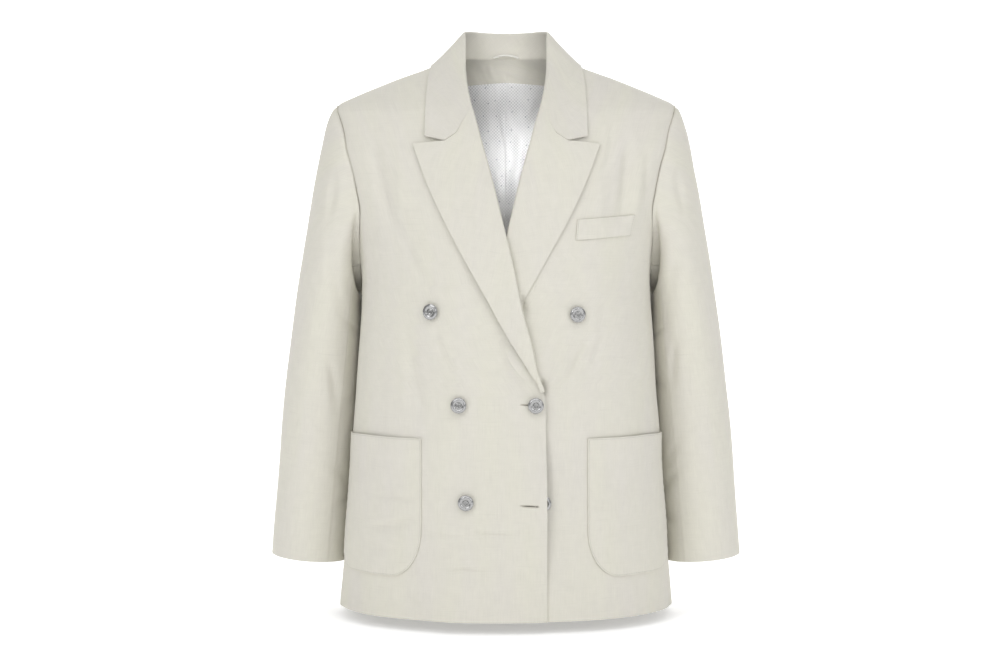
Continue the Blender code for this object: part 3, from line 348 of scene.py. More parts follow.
def straight(rows, column, at):
    """The same with straight lines between the rows."""
    return np.interp(at, next(iter(rows.values())), rows[column])


def ease(t):
    t = np.clip(t, 0.0, 1.0)
    return t * t * (3 - 2 * t)


def signed_power(value, power):
    return np.sign(value) * np.abs(value) ** power


def unit(vectors):
    return vectors / np.linalg.norm(vectors, axis=-1, keepdims=True)


# -------- creases and waviness


def crease(row, x, height, press=PRESS, falloff=1.5):
    """Rise of one crease, a row of a table, over two flat coordinates measured from its middle."""
    turn = math.radians(row["slope_deg"])
    along = (x * math.cos(turn) + height * math.sin(turn)) / row["length"]
    across = height * math.cos(turn) - x * math.sin(turn)
    across = (across - row.get("bend", 0.0) * along**2) / row["width"]
    lips = 1 - row.get("lips", 0.0) * across**2
    return press * row["depth"] * np.clip(1 - along**2, 0, 1) ** falloff * lips * np.exp(-(across**2))


def rows_of(rows, side):
    """The rows of a table that belong to a side, each as a dict."""
    for values in zip(*rows.values()):
        row = dict(zip(rows, values))
        if row.get("side", side) == side:
            yield row


def creases(rows, side, x, height, *shape):
    """Rise of all of a table's creases on one side."""
    return sum(crease(row, x - row["x"], height - row["height"], *shape) for row in rows_of(rows, side))


def waviness(u, v, seed, pitch, rise):
    """Gentle unevenness of hand-sewn cloth: a few long waves that cross at odd angles."""
    random = np.random.default_rng(seed)
    total = np.zeros(np.broadcast(u, v).shape)
    for octave in range(6):
        angle, phase = random.uniform(0, math.pi), random.uniform(0, 2 * math.pi)
        length = pitch * random.uniform(0.8, 2.4)
        total += np.sin(2 * math.pi * (u * math.cos(angle) + v * math.sin(angle)) / length + phase)
    return rise * total / 6**0.5


# -------- the body form


def section(height, ahead):
    """Half width, depth and roundness of the form at a height, where it lies ahead of or behind its side."""
    depth = np.where(ahead, read(TORSO, "front", height), read(TORSO, "back", height))
    return read(TORSO, "half_width", height), depth, read(TORSO, "roundness", height)


def torso_point(angle, height):
    """A point of the bare form: angle 0 is the centre front, pi / 2 the side, pi the centre back."""
    angle, height = np.broadcast_arrays(np.asarray(angle, float), np.asarray(height, float))
    facing = np.cos(angle)
    half_width, depth, roundness = section(height, facing > 0)
    x = half_width * signed_power(np.sin(angle), 2 / roundness)
    y = SIDE_LINE - depth * signed_power(facing, 2 / roundness)
    return np.stack([x, y, height], axis=-1)


def torso_normal(angle, height):
    around = torso_point(angle + STEP, height) - torso_point(angle - STEP, height)
    up = torso_point(angle, height + STEP) - torso_point(angle, height - STEP)
    return unit(np.cross(around, up))


def angle_at_x(x, height):
    """The angle on the front half where the form is that far from the centre line."""
    half_width, _, roundness = section(height, True)
    return np.arcsin(np.clip(signed_power(x / half_width, roundness / 2), -1.0, 1.0))


def angle_at_y(y, height):
    """The angle where the form is at that depth."""
    _, depth, roundness = section(height, y < SIDE_LINE)
    return np.arccos(np.clip(signed_power((SIDE_LINE - y) / depth, roundness / 2), -1.0, 1.0))


def drape(side, x, height, facing):
    """Rise of all the folds and creases of the body cloth. facing is 1 in front, 0 at the side, -1 behind."""
    rise = creases(FOLDS, side, x, height, 1.0, 2) + creases(FRONT_CREASES, side, x, height)
    rise = rise * ease(facing / 0.25) + creases(BACK_CREASES, side, x, height) * ease(-facing / 0.25)
    calm = ease((-0.02 - height) / 0.10)
    around = x * ease(np.abs(facing) / 0.4) + 0.2 * (1 - np.abs(facing))
    return rise * calm + waviness(around, height, 5 + side, **BODY_WAVES) * calm


def lap_lift(x, height):
    """How far the lapping front stands off the form."""
    drop, inner, reach, top, fade = PRESSED_EDGE.values()
    bump_x, bump_z, reach_x, reach_z, rise = BUTTON_BUMP.values()
    near = np.exp(-(((x - bump_x) / reach_x) ** 2) - ((height - bump_z) / reach_z) ** 2)
    lift = read(LAP, "lift", height) * (1 - ease((x - LAP_FROM) / (LAP_TO - LAP_FROM))) + rise * near
    return lift - drop * ease((inner - x) / reach) * ease((top - height) / fade) * (1 - near)


def cloth_point(side, angle, height, clearance=0.0):
    """Own-side point on the outer face of the body cloth, moved out along its normal."""
    angle, height = np.broadcast_arrays(np.asarray(angle, float), np.asarray(height, float))
    point, normal = torso_point(angle, height), torso_normal(angle, height)
    out = clearance + drape(side, point[..., 0], height, np.cos(angle))
    if side < 0:
        out = out + np.where(angle > math.pi / 2, 0.0, lap_lift(point[..., 0], height))
    return point + normal * np.asarray(out)[..., None]


def front_point(side, x, height, clearance=0.0):
    """The same, found by how far it is from the centre line."""
    return cloth_point(side, angle_at_x(x, height), height, clearance)


def outside(point):
    """How far a point is outside the bare form, as a share of the form's size there."""
    x, y, height = np.moveaxis(point, -1, 0)
    half_width, depth, power = section(height, y < SIDE_LINE)
    return (np.abs(x / half_width) ** power + np.abs((y - SIDE_LINE) / depth) ** power) ** (1 / power) - 1


def foot(side, point):
    """The nearest place of the draped cloth to a point, and the way out of the cloth there."""
    point = np.array(point, float)
    step = 1e-5
    for _ in range(12):
        here = outside(point)
        slope = np.stack([outside(point + step * axis) - here for axis in np.eye(3)], axis=-1) / step
        size = np.linalg.norm(slope, axis=-1)
        point = point - slope * (np.clip(here / size, -0.01, 0.01) / size)[..., None]
    x, y, height = np.moveaxis(point, -1, 0)
    _, depth, roundness = section(height, y < SIDE_LINE)
    facing = np.clip(signed_power((SIDE_LINE - y) / depth, roundness / 2), -1, 1)
    rise = drape(side, x, height, facing)
    if side < 0:
        rise = rise + np.where(y < SIDE_LINE, lap_lift(x, height), 0.0)
    normal = slope / size[..., None]
    return point + normal * rise[..., None], normal


def kept_off(side, points, clearance):
    """Points that are too near the cloth, or in it, moved out until they clear it."""
    nearest, normal = foot(side, points)
    off = np.sum((points - nearest) * normal, axis=-1)
    blend = 0.0012
    wanted = (off + clearance + np.sqrt((off - clearance) ** 2 + blend**2)) / 2
    near = ease((0.03 - np.abs(off)) / 0.01) * ease((NECK + 0.002 - points[..., 2]) / 0.006)
    return points + normal * ((wanted - off) * near)[..., None]


# -------- making Blender objects


def runs(grid):
    """Lengths along a grid's rows and up its columns, in metres, as the cloth's own flat coordinates."""
    rows = np.linalg.norm(np.diff(grid, axis=1), axis=-1)
    columns = np.linalg.norm(np.diff(grid, axis=0), axis=-1)
    u = np.concatenate([np.zeros((len(grid), 1)), np.cumsum(rows, axis=1)], axis=1)
    v = np.concatenate([np.zeros((1, grid.shape[1])), np.cumsum(columns, axis=0)])
    return u, v


def add_uv(mesh, name, u, v):
    """A UV layer in metres from one value of each at every vertex."""
    layer = mesh.uv_layers.new(name=name)
    corner = np.empty(len(mesh.loops), np.int32)
    mesh.loops.foreach_get("vertex_index", corner)
    layer.data.foreach_set("uv", np.stack([u.ravel()[corner], v.ravel()[corner]], axis=1).ravel())


def add_object(data, look=None):
    obj = bpy.data.objects.new(data.name, data)
    if look:
        data.materials.append(look)
    bpy.context.scene.collection.objects.link(obj)
    return obj


def grid_mesh(name, grid, turned=False):
    """A grid of points as an open smooth surface."""
    rows, columns = grid.shape[:2]
    k = (np.arange(rows - 1)[:, None] * columns + np.arange(columns - 1)).ravel()
    faces = np.stack([k, k + 1, k + columns + 1, k + columns], axis=1)
    mesh = bpy.data.meshes.new(name)
    mesh.from_pydata(grid.reshape(-1, 3).tolist(), [], (faces[:, ::-1] if turned else faces).tolist())
    mesh.shade_smooth()
    return mesh


def cloth(name, grid, thickness, look, side=1, cut=None, stitch=None):
    """A thin shell that thickens inwards from its outer face, an own-side grid, with softly turned edges."""
    mesh = grid_mesh(name, grid * (side, 1.0, 1.0), side < 0)
    add_uv(mesh, "cut", *(runs(grid) if cut is None else cut))
    if stitch is not None:
        add_uv(mesh, "stitch", *stitch)
    obj = add_object(mesh, look)
    solidify = obj.modifiers.new("thickness", "SOLIDIFY")
    solidify.thickness = thickness
    solidify.offset = -1.0
    turned = obj.modifiers.new("turned edge", "BEVEL")
    turned.width = 0.0005
    turned.segments = 2
    turned.limit_method = "ANGLE"
    turned.angle_limit = math.radians(50)
    return obj


def tube(name, points, radius, look, closed=False):
    """A round thread or cord along a line of points."""
    curve = bpy.data.curves.new(name, "CURVE")
    curve.dimensions = "3D"
    curve.bevel_depth = radius
    curve.bevel_resolution = 3
    curve.use_fill_caps = True
    spline = curve.splines.new("POLY")
    spline.points.add(len(points) - 1)
    spline.points.foreach_set("co", np.column_stack([points, np.ones(len(points))]).ravel())
    spline.use_cyclic_u = closed
    return add_object(curve, look)


# -------- fronts and back


def armhole_y(height, side_of_arm):
    """Depth of the armhole's edge at a height: side_of_arm is -1 at its front and +1 at its back."""
    level = np.clip((height - ARMHOLE_MIDDLE) / ARMHOLE_HALF, -1.0, 1.0)
    low, high = SIDE_SEAM["y"][-1], SIDE_LINE
    middle = low + (high - low) * ease((height - UNDERARM) / (SHOULDER_TIP - UNDERARM))
    scoop = np.where(side_of_arm < 0, read(ARMHOLE_SCOOP, "forward", level), 0.0)
    return middle + side_of_arm * (ARMHOLE_REACH * np.sqrt(1 - level**2) + scoop)


def outer_angle(height, side_of_arm):
    """Angle where a front (-1) or back (+1) ends: side seam, armhole edge, then shoulder seam."""
    seam = read(SIDE_SEAM, "y", height)
    in_armhole = (height >= UNDERARM) & (height <= SHOULDER_TIP)
    y = np.where(height < UNDERARM, seam, SIDE_LINE)
    y = np.where(in_armhole, armhole_y(height, side_of_arm), y)
    return angle_at_y(y + side_of_arm * SEAM_GAP / 2, height)


def panel_heights(skirt, armhole, shoulder):
    """Row heights of a body panel: the skirt, the armhole, closer where it turns, then the shoulder."""
    turn = np.linspace(0.0, math.pi, armhole + 1)
    low = np.linspace(HEM, UNDERARM, skirt, endpoint=False)
    high = np.linspace(SHOULDER_TIP, NECK - 0.001, shoulder + 1)[1:]
    return np.concatenate([low, ARMHOLE_MIDDLE - ARMHOLE_HALF * np.cos(turn), high])


def body_panel(side, start, end, heights, columns):
    """A body panel between two angles on each row, and its weave: round the form and straight up."""
    angle = start[:, None] + (end - start)[:, None] * np.linspace(0, 1, columns)
    grid = cloth_point(side, angle, heights[:, None])
    u, _ = runs(grid)
    middle = np.argmin(np.abs(np.where(angle > math.pi / 2, math.pi - angle, angle)), axis=1)
    u = u - u[np.arange(len(u)), middle][:, None]
    return grid, (u * side, np.broadcast_to(heights[:, None], u.shape))


# -------- lapels


def roll_parts(side, height):
    """Edge of the front, outward normal and the way across the roll line towards the opening."""
    edge = LAYER[side]
    x = read(FRONT_EDGE, edge, height)
    point = front_point(side, x, height)
    normal = torso_normal(angle_at_x(x, height), height)
    ahead, behind = (
        front_point(side, read(FRONT_EDGE, edge, level), level) for level in (height + STEP, height - STEP)
    )
    across = np.cross(normal, unit(ahead - behind))
    across = np.where(across[..., :1] > 0, -across, across)
    return point, normal, unit(across)


def roll_arc(side, height, turns):
    """Skin of the rolled fold on one row: level with the front, then round its edge to on top of it."""
    point, normal, across = roll_parts(side, height)
    radius = (read(ROLL_HEIGHT, LAYER[side], height) + 1.5 * LAPEL_CLOTH + 0.5 * FRONT_CLOTH) / 2
    start = point + across * SEAM_GAP - normal * (LAPEL_CLOTH + FRONT_CLOTH) / 2
    # Near the break the fold draws back on to the front's face and runs out into its edge.
    out = 1 - ease((height - BREAK) / ROLL_OUT)
    centre = start + across * (FOLD_LEAD - out * (FOLD_LEAD + radius)) + normal * radius
    turn = np.linspace(0.85 * math.pi * out, math.pi, turns + 1)[:, None]
    arc = centre + radius * (across * np.sin(turn) - normal * np.cos(turn))
    return np.concatenate([[start + (arc[0] - start) * out], arc])


def lapel_top(side, row, across):
    """Points of the lapel's upper face at a row (0 at the break, 1 at the gorge) and shares of its width."""
    roll_height = BREAK + (GORGE - BREAK) * row
    edge = LAYER[side]
    roll = np.array([read(FRONT_EDGE, edge, roll_height), roll_height])[:, None]
    free = np.array([read(LAPEL_EDGE, name, row) for name in (f"{edge}_x", "height")])[:, None]
    gorge = np.array([straight(GORGE_LINE, name, across) for name in ("x", "height")])
    ends = np.array([[GORGE_LINE[name][0], GORGE_LINE[name][-1]] for name in ("x", "height")])
    bend = gorge - ends[:, :1] - (ends[:, 1:] - ends[:, :1]) * across
    x, height = roll + (free - roll) * across + bend * row**4
    stand, lift = read(ROLL_HEIGHT, edge, roll_height), read(LAPEL_EDGE, edge, row)
    puff = stand + (lift - stand) * ease(across)
    belly = LAPEL_BELLY * np.sin(math.pi * across) ** 2 * ease(row / 0.3) * ease((1 - row) / 0.15)
    return front_point(side, x, height, puff + LAPEL_CLOTH + belly)


def lapel_grid(side, rows, turns, columns):
    """The lapel's skin: the rolled fold, then out to the free edge, from the break up to the gorge."""
    across = np.linspace(0.0, 1.0, columns + 1)[1:]
    return np.array([
        np.concatenate([roll_arc(side, BREAK + (GORGE - BREAK) * row, turns), lapel_top(side, row, across)])
        for row in np.linspace(0.0, 1.0, rows + 1)
    ])


# -------- collar


def neck_seam(rib):
    """The collar's seam on the neck edge: round the back to the side at rib 4, then down the front."""
    angle = math.pi - min(rib, 4) / 4 * math.pi / 2
    back = torso_point(angle, NECK) - torso_normal(angle, NECK - 0.002) * BODY_CLOTH * 0.6
    back = back + (0.0, 0.0, SEAM_GAP)
    if rib <= 4:
        return back
    point, normal, across = roll_parts(1, read(NECK_SEAM, "height", rib))
    front = point + across * (0.0010 + 0.0024 * ease((6.5 - rib) / 2)) + normal * 0.0008
    return back + (front - back) * ease((rib - 4) / 0.6)


def collar_end(share):
    """Own-side points of the collar's end row: along the gorge to the notch, then out to the point."""
    x, height = (straight(COLLAR_END, name, share) for name in ("x", "height"))
    stand, lift = read(ROLL_HEIGHT, "over", GORGE), LAPEL_EDGE["over"][-1]
    puff = stand + (lift - stand) * ease(share / 1.24) + 0.0012 * ease((share - 0.5) / 0.4)
    return front_point(1, x, height + GORGE_GAP, puff + COLLAR_CLOTH)


def collar_rib(side, rib):
    """One rib of the collar's skin: up the stand, over the fold and down the fall to the free edge."""
    fold, edge = (np.array([read(COLLAR, part + axis, rib) for axis in "xyz"]) for part in ("fold_", "edge_"))
    nearest, normal = foot(side, edge)
    edge = nearest + normal * (LAYER_GAP + COLLAR_CLOTH)
    seam = neck_seam(rib)
    rise = unit(fold - seam)
    outward = unit((edge - fold) - rise * np.dot(edge - fold, rise))
    turn = np.linspace(0.0, math.pi, FOLD_STEPS + 1)[:, None]
    arc = fold - rise * COLLAR_ROLL + COLLAR_ROLL * (rise * np.sin(turn) - outward * np.cos(turn))
    up = np.linspace(0.0, 1.0, STAND_STEPS + 1)[:-1, None]
    share = np.linspace(0.0, 1.0, FALL_STEPS + 1)[1:, None]
    fall = arc[-1] + (edge - arc[-1]) * share + (0.0, 0.0, FALL_ARCH) * share * (1 - share)
    points = np.concatenate([seam + (arc[0] - seam) * up, arc, fall])
    roll = roll_arc(1, GORGE + GORGE_GAP, STAND_STEPS + FOLD_STEPS - 1)
    end = np.concatenate([roll, collar_end(share[:, 0])])
    return points + (end - points) * ease((rib - 6.0) / 2.0)


def collar_grid(ribs):
    """Both halves of the collar as one skin, from the gorge on +X round the back to the gorge on -X."""
    fall = STAND_STEPS + FOLD_STEPS + 1
    halves = []
    for side in (1, -1):
        half = np.array([collar_rib(side, rib) for rib in np.linspace(8.0, 0.0, ribs + 1)])
        half[:, fall:] = kept_off(side, half[:, fall:], LAYER_GAP + COLLAR_CLOTH)
        halves.append(half * (side, 1.0, 1.0))
    middle = (halves[0][-1:] + halves[1][-1:]) / 2
    return np.concatenate([halves[0][:-1], middle, halves[1][-2::-1]])


# -------- sleeves


def armhole_loop(turn):
    """Own-side points of the armhole seam: turn 0 at the shoulder tip, pi / 2 in front, pi under the arm."""
    height = ARMHOLE_MIDDLE + ARMHOLE_HALF * np.cos(turn)
    y = armhole_y(height, np.where(np.sin(turn) >= 0, -1.0, 1.0))
    return torso_point(angle_at_y(y, height), height)


def sleeve_ring(ring, turn):
    """Own-side points of the bare sleeve. The first rings take over the armhole's bowed loop bit by bit."""

    def flat(at):
        outer_x, outer_z, inner_x, inner_z, half_depth, centre_y = (
            read(SLEEVE, name, at) for name in list(SLEEVE)[1:]
        )
        along = (1 + np.cos(turn)) / 2
        x, z = inner_x + (outer_x - inner_x) * along, inner_z + (outer_z - inner_z) * along
        return np.stack([x, centre_y - half_depth * np.sin(turn), z], axis=-1)

    bow = armhole_loop(turn) - flat(0.0)
    return flat(ring) + bow * ((1 - ease(ring / 4.5)) ** 1.5)[..., None]


def sleeve_skin(side, ring, turn):
    """The same with its creases and the softness of its seams."""
    ring, turn = np.broadcast_arrays(ring, turn)
    point = sleeve_ring(ring, turn)
    ahead = sleeve_ring(np.minimum(ring + 0.03, 10), turn)
    along = ahead - sleeve_ring(np.maximum(ring - 0.03, 0), turn)
    around = sleeve_ring(ring, turn + 0.02) - sleeve_ring(ring, turn - 0.02)
    normal = unit(np.cross(around, along))
    rise = waviness(TURN_RADIUS * np.sin(turn), ring * RING_PITCH, 11 + side, **SLEEVE_WAVES)
    for row in rows_of(SLEEVE_CREASES, side):
        away = np.angle(np.exp(1j * (turn - math.radians(row["turn_deg"])))) * TURN_RADIUS
        rise += crease(row, away, (ring - row["ring"]) * RING_PITCH)
    # Ease gathered into the sleeve head puckers the first centimetre beside the armhole seam.
    puff, pucker, puckers = 0.0006, 0.00018, 46
    head = np.exp(-((ring - 0.35) / 0.35) ** 2) * ease((np.cos(turn) + 0.1) / 0.6)
    rise += head * (puff + pucker * np.sin(turn * puckers + side))
    rise *= ease(ring / 0.5)
    return point + normal * rise[..., None], normal


def sleeve_grid(side, rings, start, end, columns, welt):
    """Rows from the cuff up to the armhole between two seams, each given as turns at armhole and cuff.
    At the front seam the top sleeve's edge stands up a little (welt > 0); the under sleeve's lies lower."""
    ring = (10 * np.linspace(1.0, 0.0, rings + 1) ** 1.25)[:, None]
    first = start[0] + (start[1] - start[0]) * ring / 10
    last = end[0] + (end[1] - end[0]) * ring / 10
    turn = first + (last - first) * np.linspace(0, 1, columns + 1)
    grid, normal = sleeve_skin(side, ring, turn)
    beside = (turn - (last if welt > 0 else first)) * TURN_RADIUS
    grid = grid + normal * (welt * np.exp(-((beside / 0.0032) ** 2)))[..., None]
    away = unit(sleeve_ring(np.full_like(turn[-1], 0.5), turn[-1]) - grid[-1])
    grid[-1] += away * ARMHOLE_GAP
    return grid


def sleeve_pieces():
    """Top and under sleeve: turns of their two seams at armhole and cuff, columns, and their seam's welt."""
    front, back = np.radians(SLEEVE_SEAMS["front"]), np.radians(SLEEVE_SEAMS["back"])
    gap = np.array([0.0036, 0.0034])
    yield "top", back + gap, front - gap, 84, SLEEVE_WELT
    yield "under", front + gap, back + 2 * math.pi - gap, 30, -SLEEVE_WELT


# -------- what lies on the panels


def angle_along(height, inner, distance):
    """Angles that far round the form, at a height, from own-side x `inner`."""
    angles = angle_at_x(inner, height) + np.linspace(0.0, 1.2, 240)
    lengths = np.linalg.norm(np.diff(torso_point(angles, height), axis=0), axis=1)
    return np.interp(distance, np.concatenate([[0.0], np.cumsum(lengths)]), angles)


def edge_run(d, h, outline):
    """Distance from a closed outline on the flat, and how far along it the nearest place is."""
    ends = np.roll(outline, -1, axis=0)
    lengths = np.linalg.norm(ends - outline, axis=1)
    starts = np.concatenate([[0.0], np.cumsum(lengths)[:-1]])
    flat = np.stack([d.ravel(), h.ravel()], axis=1)
    best, run = np.full(len(flat), np.inf), np.zeros(len(flat))
    for a, b, length, before in zip(outline, ends, lengths, starts):
        t = np.clip(((flat - a) @ (b - a)) / length**2, 0, 1)
        away = np.linalg.norm(flat - a - t[:, None] * (b - a), axis=1)
        nearer = away < best
        best, run = np.where(nearer, away, best), np.where(nearer, before + t * length, run)
    return best.reshape(d.shape), run.reshape(d.shape)


def patch_pocket(side):
    """A patch pocket with round lower corners: its skin, flat coordinates and distance from its seam."""
    width, top, bottom, corner, corner_height, rise = PATCH_POCKET.values()
    turns = np.linspace(0.0, math.pi / 2, 21)
    rounded = bottom + corner_height * (1 - np.cos(turns[1:]))
    heights = np.concatenate([[bottom + 1e-5], rounded, np.linspace(bottom + corner_height, top, 48)[1:]])
    drop = np.maximum(0.0, bottom + corner_height - heights) / corner_height
    inset = corner * (1 - np.sqrt(np.maximum(0.0, 1 - drop**2)))
    d = inset[:, None] + (width - 2 * inset)[:, None] * np.linspace(0, 1, 61)
    arc = np.linspace(math.pi, 1.5 * math.pi, 16)
    left = np.stack([corner + corner * np.cos(arc), bottom + corner_height * (1 + np.sin(arc))], axis=1)
    right = left[::-1] * (-1.0, 1.0) + (width, 0.0)
    outline = np.concatenate([[[0.0, top]], left, right, [[width, top]]])
    h = np.broadcast_to(heights[:, None], d.shape)
    slant = rise * ease((1 - d / width) / 0.5) * np.clip((h - bottom) / (top - bottom), 0, 1) ** 2
    from_seam, run = edge_run(d, h, outline)
    sides = np.minimum(np.minimum(d, width - d), h - bottom)
    puff = POCKET_PUFF * ease(sides / 0.030) + waviness(d, h, 21 + side, **POCKET_WAVES) * ease(sides / 0.02)
    # The open top stands off the front a little more, and its hem is folded under.
    mouth = POCKET_MOUTH * ease((h - top + 0.05) / 0.05) * np.sin(math.pi * np.clip(d / width, 0, 1))
    hem = POCKET_FOLD * ease((h - top + POCKET_HEM) / 0.0012) * ease(sides / 0.003)
    pucker = POCKET_PUCKER * np.sin(run * 2 * math.pi / PUCKER_PITCH + 2 * np.sin(run * 31))
    lift = SEAM_GAP + POCKET_CLOTH + puff + mouth + hem + pucker * np.exp(-((from_seam / 0.006) ** 2))
    angle = np.array([angle_along(height, PATCH_INNER[side], row) for height, row in zip(heights, d)])
    return cloth_point(side, angle, h + slant, lift), (d, h + slant), (from_seam, run)


def breast_welt():
    """The breast pocket's welt, a slightly slanted strip on the +X front, sewn down at its short ends."""
    inner, width, low, height, rise, middle = BREAST_POCKET.values()
    d, share = np.meshgrid(np.linspace(0, width, 45), np.linspace(0, 1, 17))
    h = low + rise * d / width + height * share
    angle = np.array([angle_along(low, inner, row) for row in d])
    from_end = np.minimum(d, width - d)
    puff = middle * np.sin(math.pi * share) * ease(from_end / 0.01)
    grid = cloth_point(1, angle, h, LAYER_GAP + POCKET_CLOTH + puff)
    return grid, (d, h), (from_end, h - low)


def facing_low(share):
    return read(FACING_EDGE, "height", share)


def inside_back(low, high, clearance, folds, rows, columns):
    """A sheet across the inside of both back panels, between two levels given for each share round it."""
    halves = []
    for side in (1, -1):
        share = 1.0 - 0.981 * np.linspace(1.0, 0.0, columns) ** 1.5
        up = np.linspace(0.0, 1.0, rows)[:, None]
        height = low(share) + (high(share) - low(share)) * up
        start, end = outer_angle(height, 1), math.pi - angle_at_x(SEAM_GAP / 2, height)
        angle = start + (end - start) * share
        x = side * torso_point(angle, height)[..., 0]
        soft = creases(folds, side, x, height)
        outer, normal = cloth_point(side, angle, height), torso_normal(angle, height)
        level = normal * (1.0, 1.0, 0.0)
        level /= np.sum(level**2, axis=-1, keepdims=True)
        halves.append(outer - level * (clearance + 0.0011 + np.maximum(soft, -0.001))[..., None])
    middle = (halves[0][:, -1:] + halves[1][:, -1:]) / 2 * (0.0, 1.0, 1.0)
    return np.concatenate([halves[0][:, :-1], middle, halves[1][:, -2::-1] * (-1.0, 1.0, 1.0)], axis=1)


# -------- buttons, buttonholes and loop

# Turned section of a button, from its middle out over the rim and back to the shank.
BUTTON_SECTION = table(
    "radius height",
    (0.0, 0.0015), (0.0014, 0.00152), (0.002, 0.00156), (0.0024, 0.00176), (0.0029, 0.0018),
    (0.0033, 0.00172), (0.0037, 0.0015), (0.0046, 0.00146), (0.0051, 0.0016), (0.0057, 0.00208),
    (0.0064, 0.0024), (0.0072, 0.00246), (0.008, 0.00222), (0.0086, 0.00176), (0.0089, 0.0015),
    (0.0092, 0.00146), (0.0096, 0.00136), (0.0098, 0.00104), (0.0098, 0.00052), (0.0094, 0.00008),
    (0.0085, -0.0004), (0.0035, -0.001), (0.0011, -0.0012),
)
SHANK_RADIUS, SHANK_FOOT = 0.0011, 0.0004
# Half the gape of a buttonhole away from its round end, and the radius of the twist sewn round it.
HOLE_GAPE, TWIST_RADIUS = 0.0009, 0.00038


def button(number, look):
    """A turned metal button on its shank, standing square to the cloth it is sewn to."""
    side, x, height, stand = (BUTTONS[name][number] for name in BUTTONS)
    side = int(side)
    right, left = (front_point(side, x + step, height) for step in (STEP, -STEP))
    above, below = (front_point(side, x, height + step) for step in (STEP, -STEP))
    normal = unit(np.cross(right - left, above - below))
    lift = stand - BUTTON_SECTION["height"].min() + SEAM_GAP
    radius = np.append(BUTTON_SECTION["radius"], [SHANK_RADIUS, 0.0])
    level = np.append(BUTTON_SECTION["height"] + lift, [SHANK_FOOT, SHANK_FOOT])
    # Each button was sewn on by hand, so each sits a little turned and tilted.
    tilt = np.random.default_rng(40 + number).uniform(-0.05, 0.05, 2)
    turn = np.linspace(2 * math.pi, 0.0, 97)
    rings = [radius[:, None] * np.cos(turn), radius[:, None] * np.sin(turn), level[:, None]]
    rings = np.stack(np.broadcast_arrays(*rings), axis=-1)
    mesh = grid_mesh(f"metal_button_{number + 1}", rings)
    made = bmesh.new()
    made.from_mesh(mesh)
    bmesh.ops.remove_doubles(made, verts=made.verts, dist=0.00001)
    made.to_mesh(mesh)
    made.free()
    obj = add_object(mesh, look)
    obj.location = front_point(side, x, height) * (side, 1.0, 1.0)
    obj.rotation_mode = "QUATERNION"
    out = Vector(normal * (side, 1.0, 1.0)) + Vector((tilt[0], 0.0, tilt[1]))
    obj.rotation_quaternion = out.to_track_quat("Z", "Y")
    return obj


def buttonhole(number, lift):
    """Outline of a worked buttonhole on the over front, with a small round gape at its outer end."""
    start, end, height = (BUTTONHOLES[name][number] for name in BUTTONHOLES)
    middle, half = (start + end) / 2, abs(end - start) / 2
    along = np.linspace(0, 2 * math.pi, 49)[:-1]
    x = middle + half * np.cos(along)
    gape = HOLE_GAPE * (1 + np.exp(-(((x - start) / 0.0026) ** 2)))
    return front_point(-1, x, height + 0.05 * (x - middle) + gape * np.sin(along), lift) * (-1.0, 1.0, 1.0)


def buttonhole_thread(number, look):
    outline = buttonhole(number, 0.00012)
    return tube(f"buttonhole_thread_{number + 1}", outline, TWIST_RADIUS, look, closed=True)


def buttonhole_cutter(number):
    """A lens-shaped block through the lapping front."""
    outer, inner = buttonhole(number, 0.003), buttonhole(number, -0.0035)
    count = len(outer)
    faces = [(i, (i + 1) % count, count + (i + 1) % count, count + i) for i in range(count)]
    faces += [tuple(range(count))[::-1], tuple(range(count, 2 * count))]
    mesh = bpy.data.meshes.new(f"cut_buttonhole_{number + 1}")
    mesh.from_pydata([*outer, *inner], [], faces)
    obj = add_object(mesh)
    obj.hide_render = obj.hide_viewport = True
    return obj


def hanger_loop(look):
    """The short loop sewn into the collar seam at the centre back, bowed up off the neck edge."""
    half_width, low, rise, bow, radius = LOOP.values()
    stand = [0, STAND_STEPS - 1]
    middle, beside = collar_rib(1, 0.0)[stand], collar_rib(1, 4 / 7)[stand]
    points = []
    for place in np.linspace(-1.0, 1.0, 25):
        seam, above = middle + (beside - middle) * abs(place) * half_width / beside[:, :1]
        bowed = 1 - place**2
        height = low + rise * bowed
        behind = seam + (above - seam) * (height - seam[2]) / (above[2] - seam[2])
        points.append((place * half_width, behind[1] - SEAM_GAP - radius - bow * bowed - 0.0004, height))
    return tube("bowed_hanger_loop", np.array(points), radius, look)


# -------- materials


class Value:
    """A value that a material's nodes work out. Adding, multiplying and so on adds a node."""

    def __init__(self, look, socket):
        self.look, self.socket = look, socket

    def __add__(self, other):
        return self.look.math("ADD", self, other)

    def __sub__(self, other):
        return self.look.math("SUBTRACT", self, other)

    def __mul__(self, other):
        return self.look.math("MULTIPLY", self, other)

    def __pow__(self, other):
        return self.look.math("POWER", self, other)


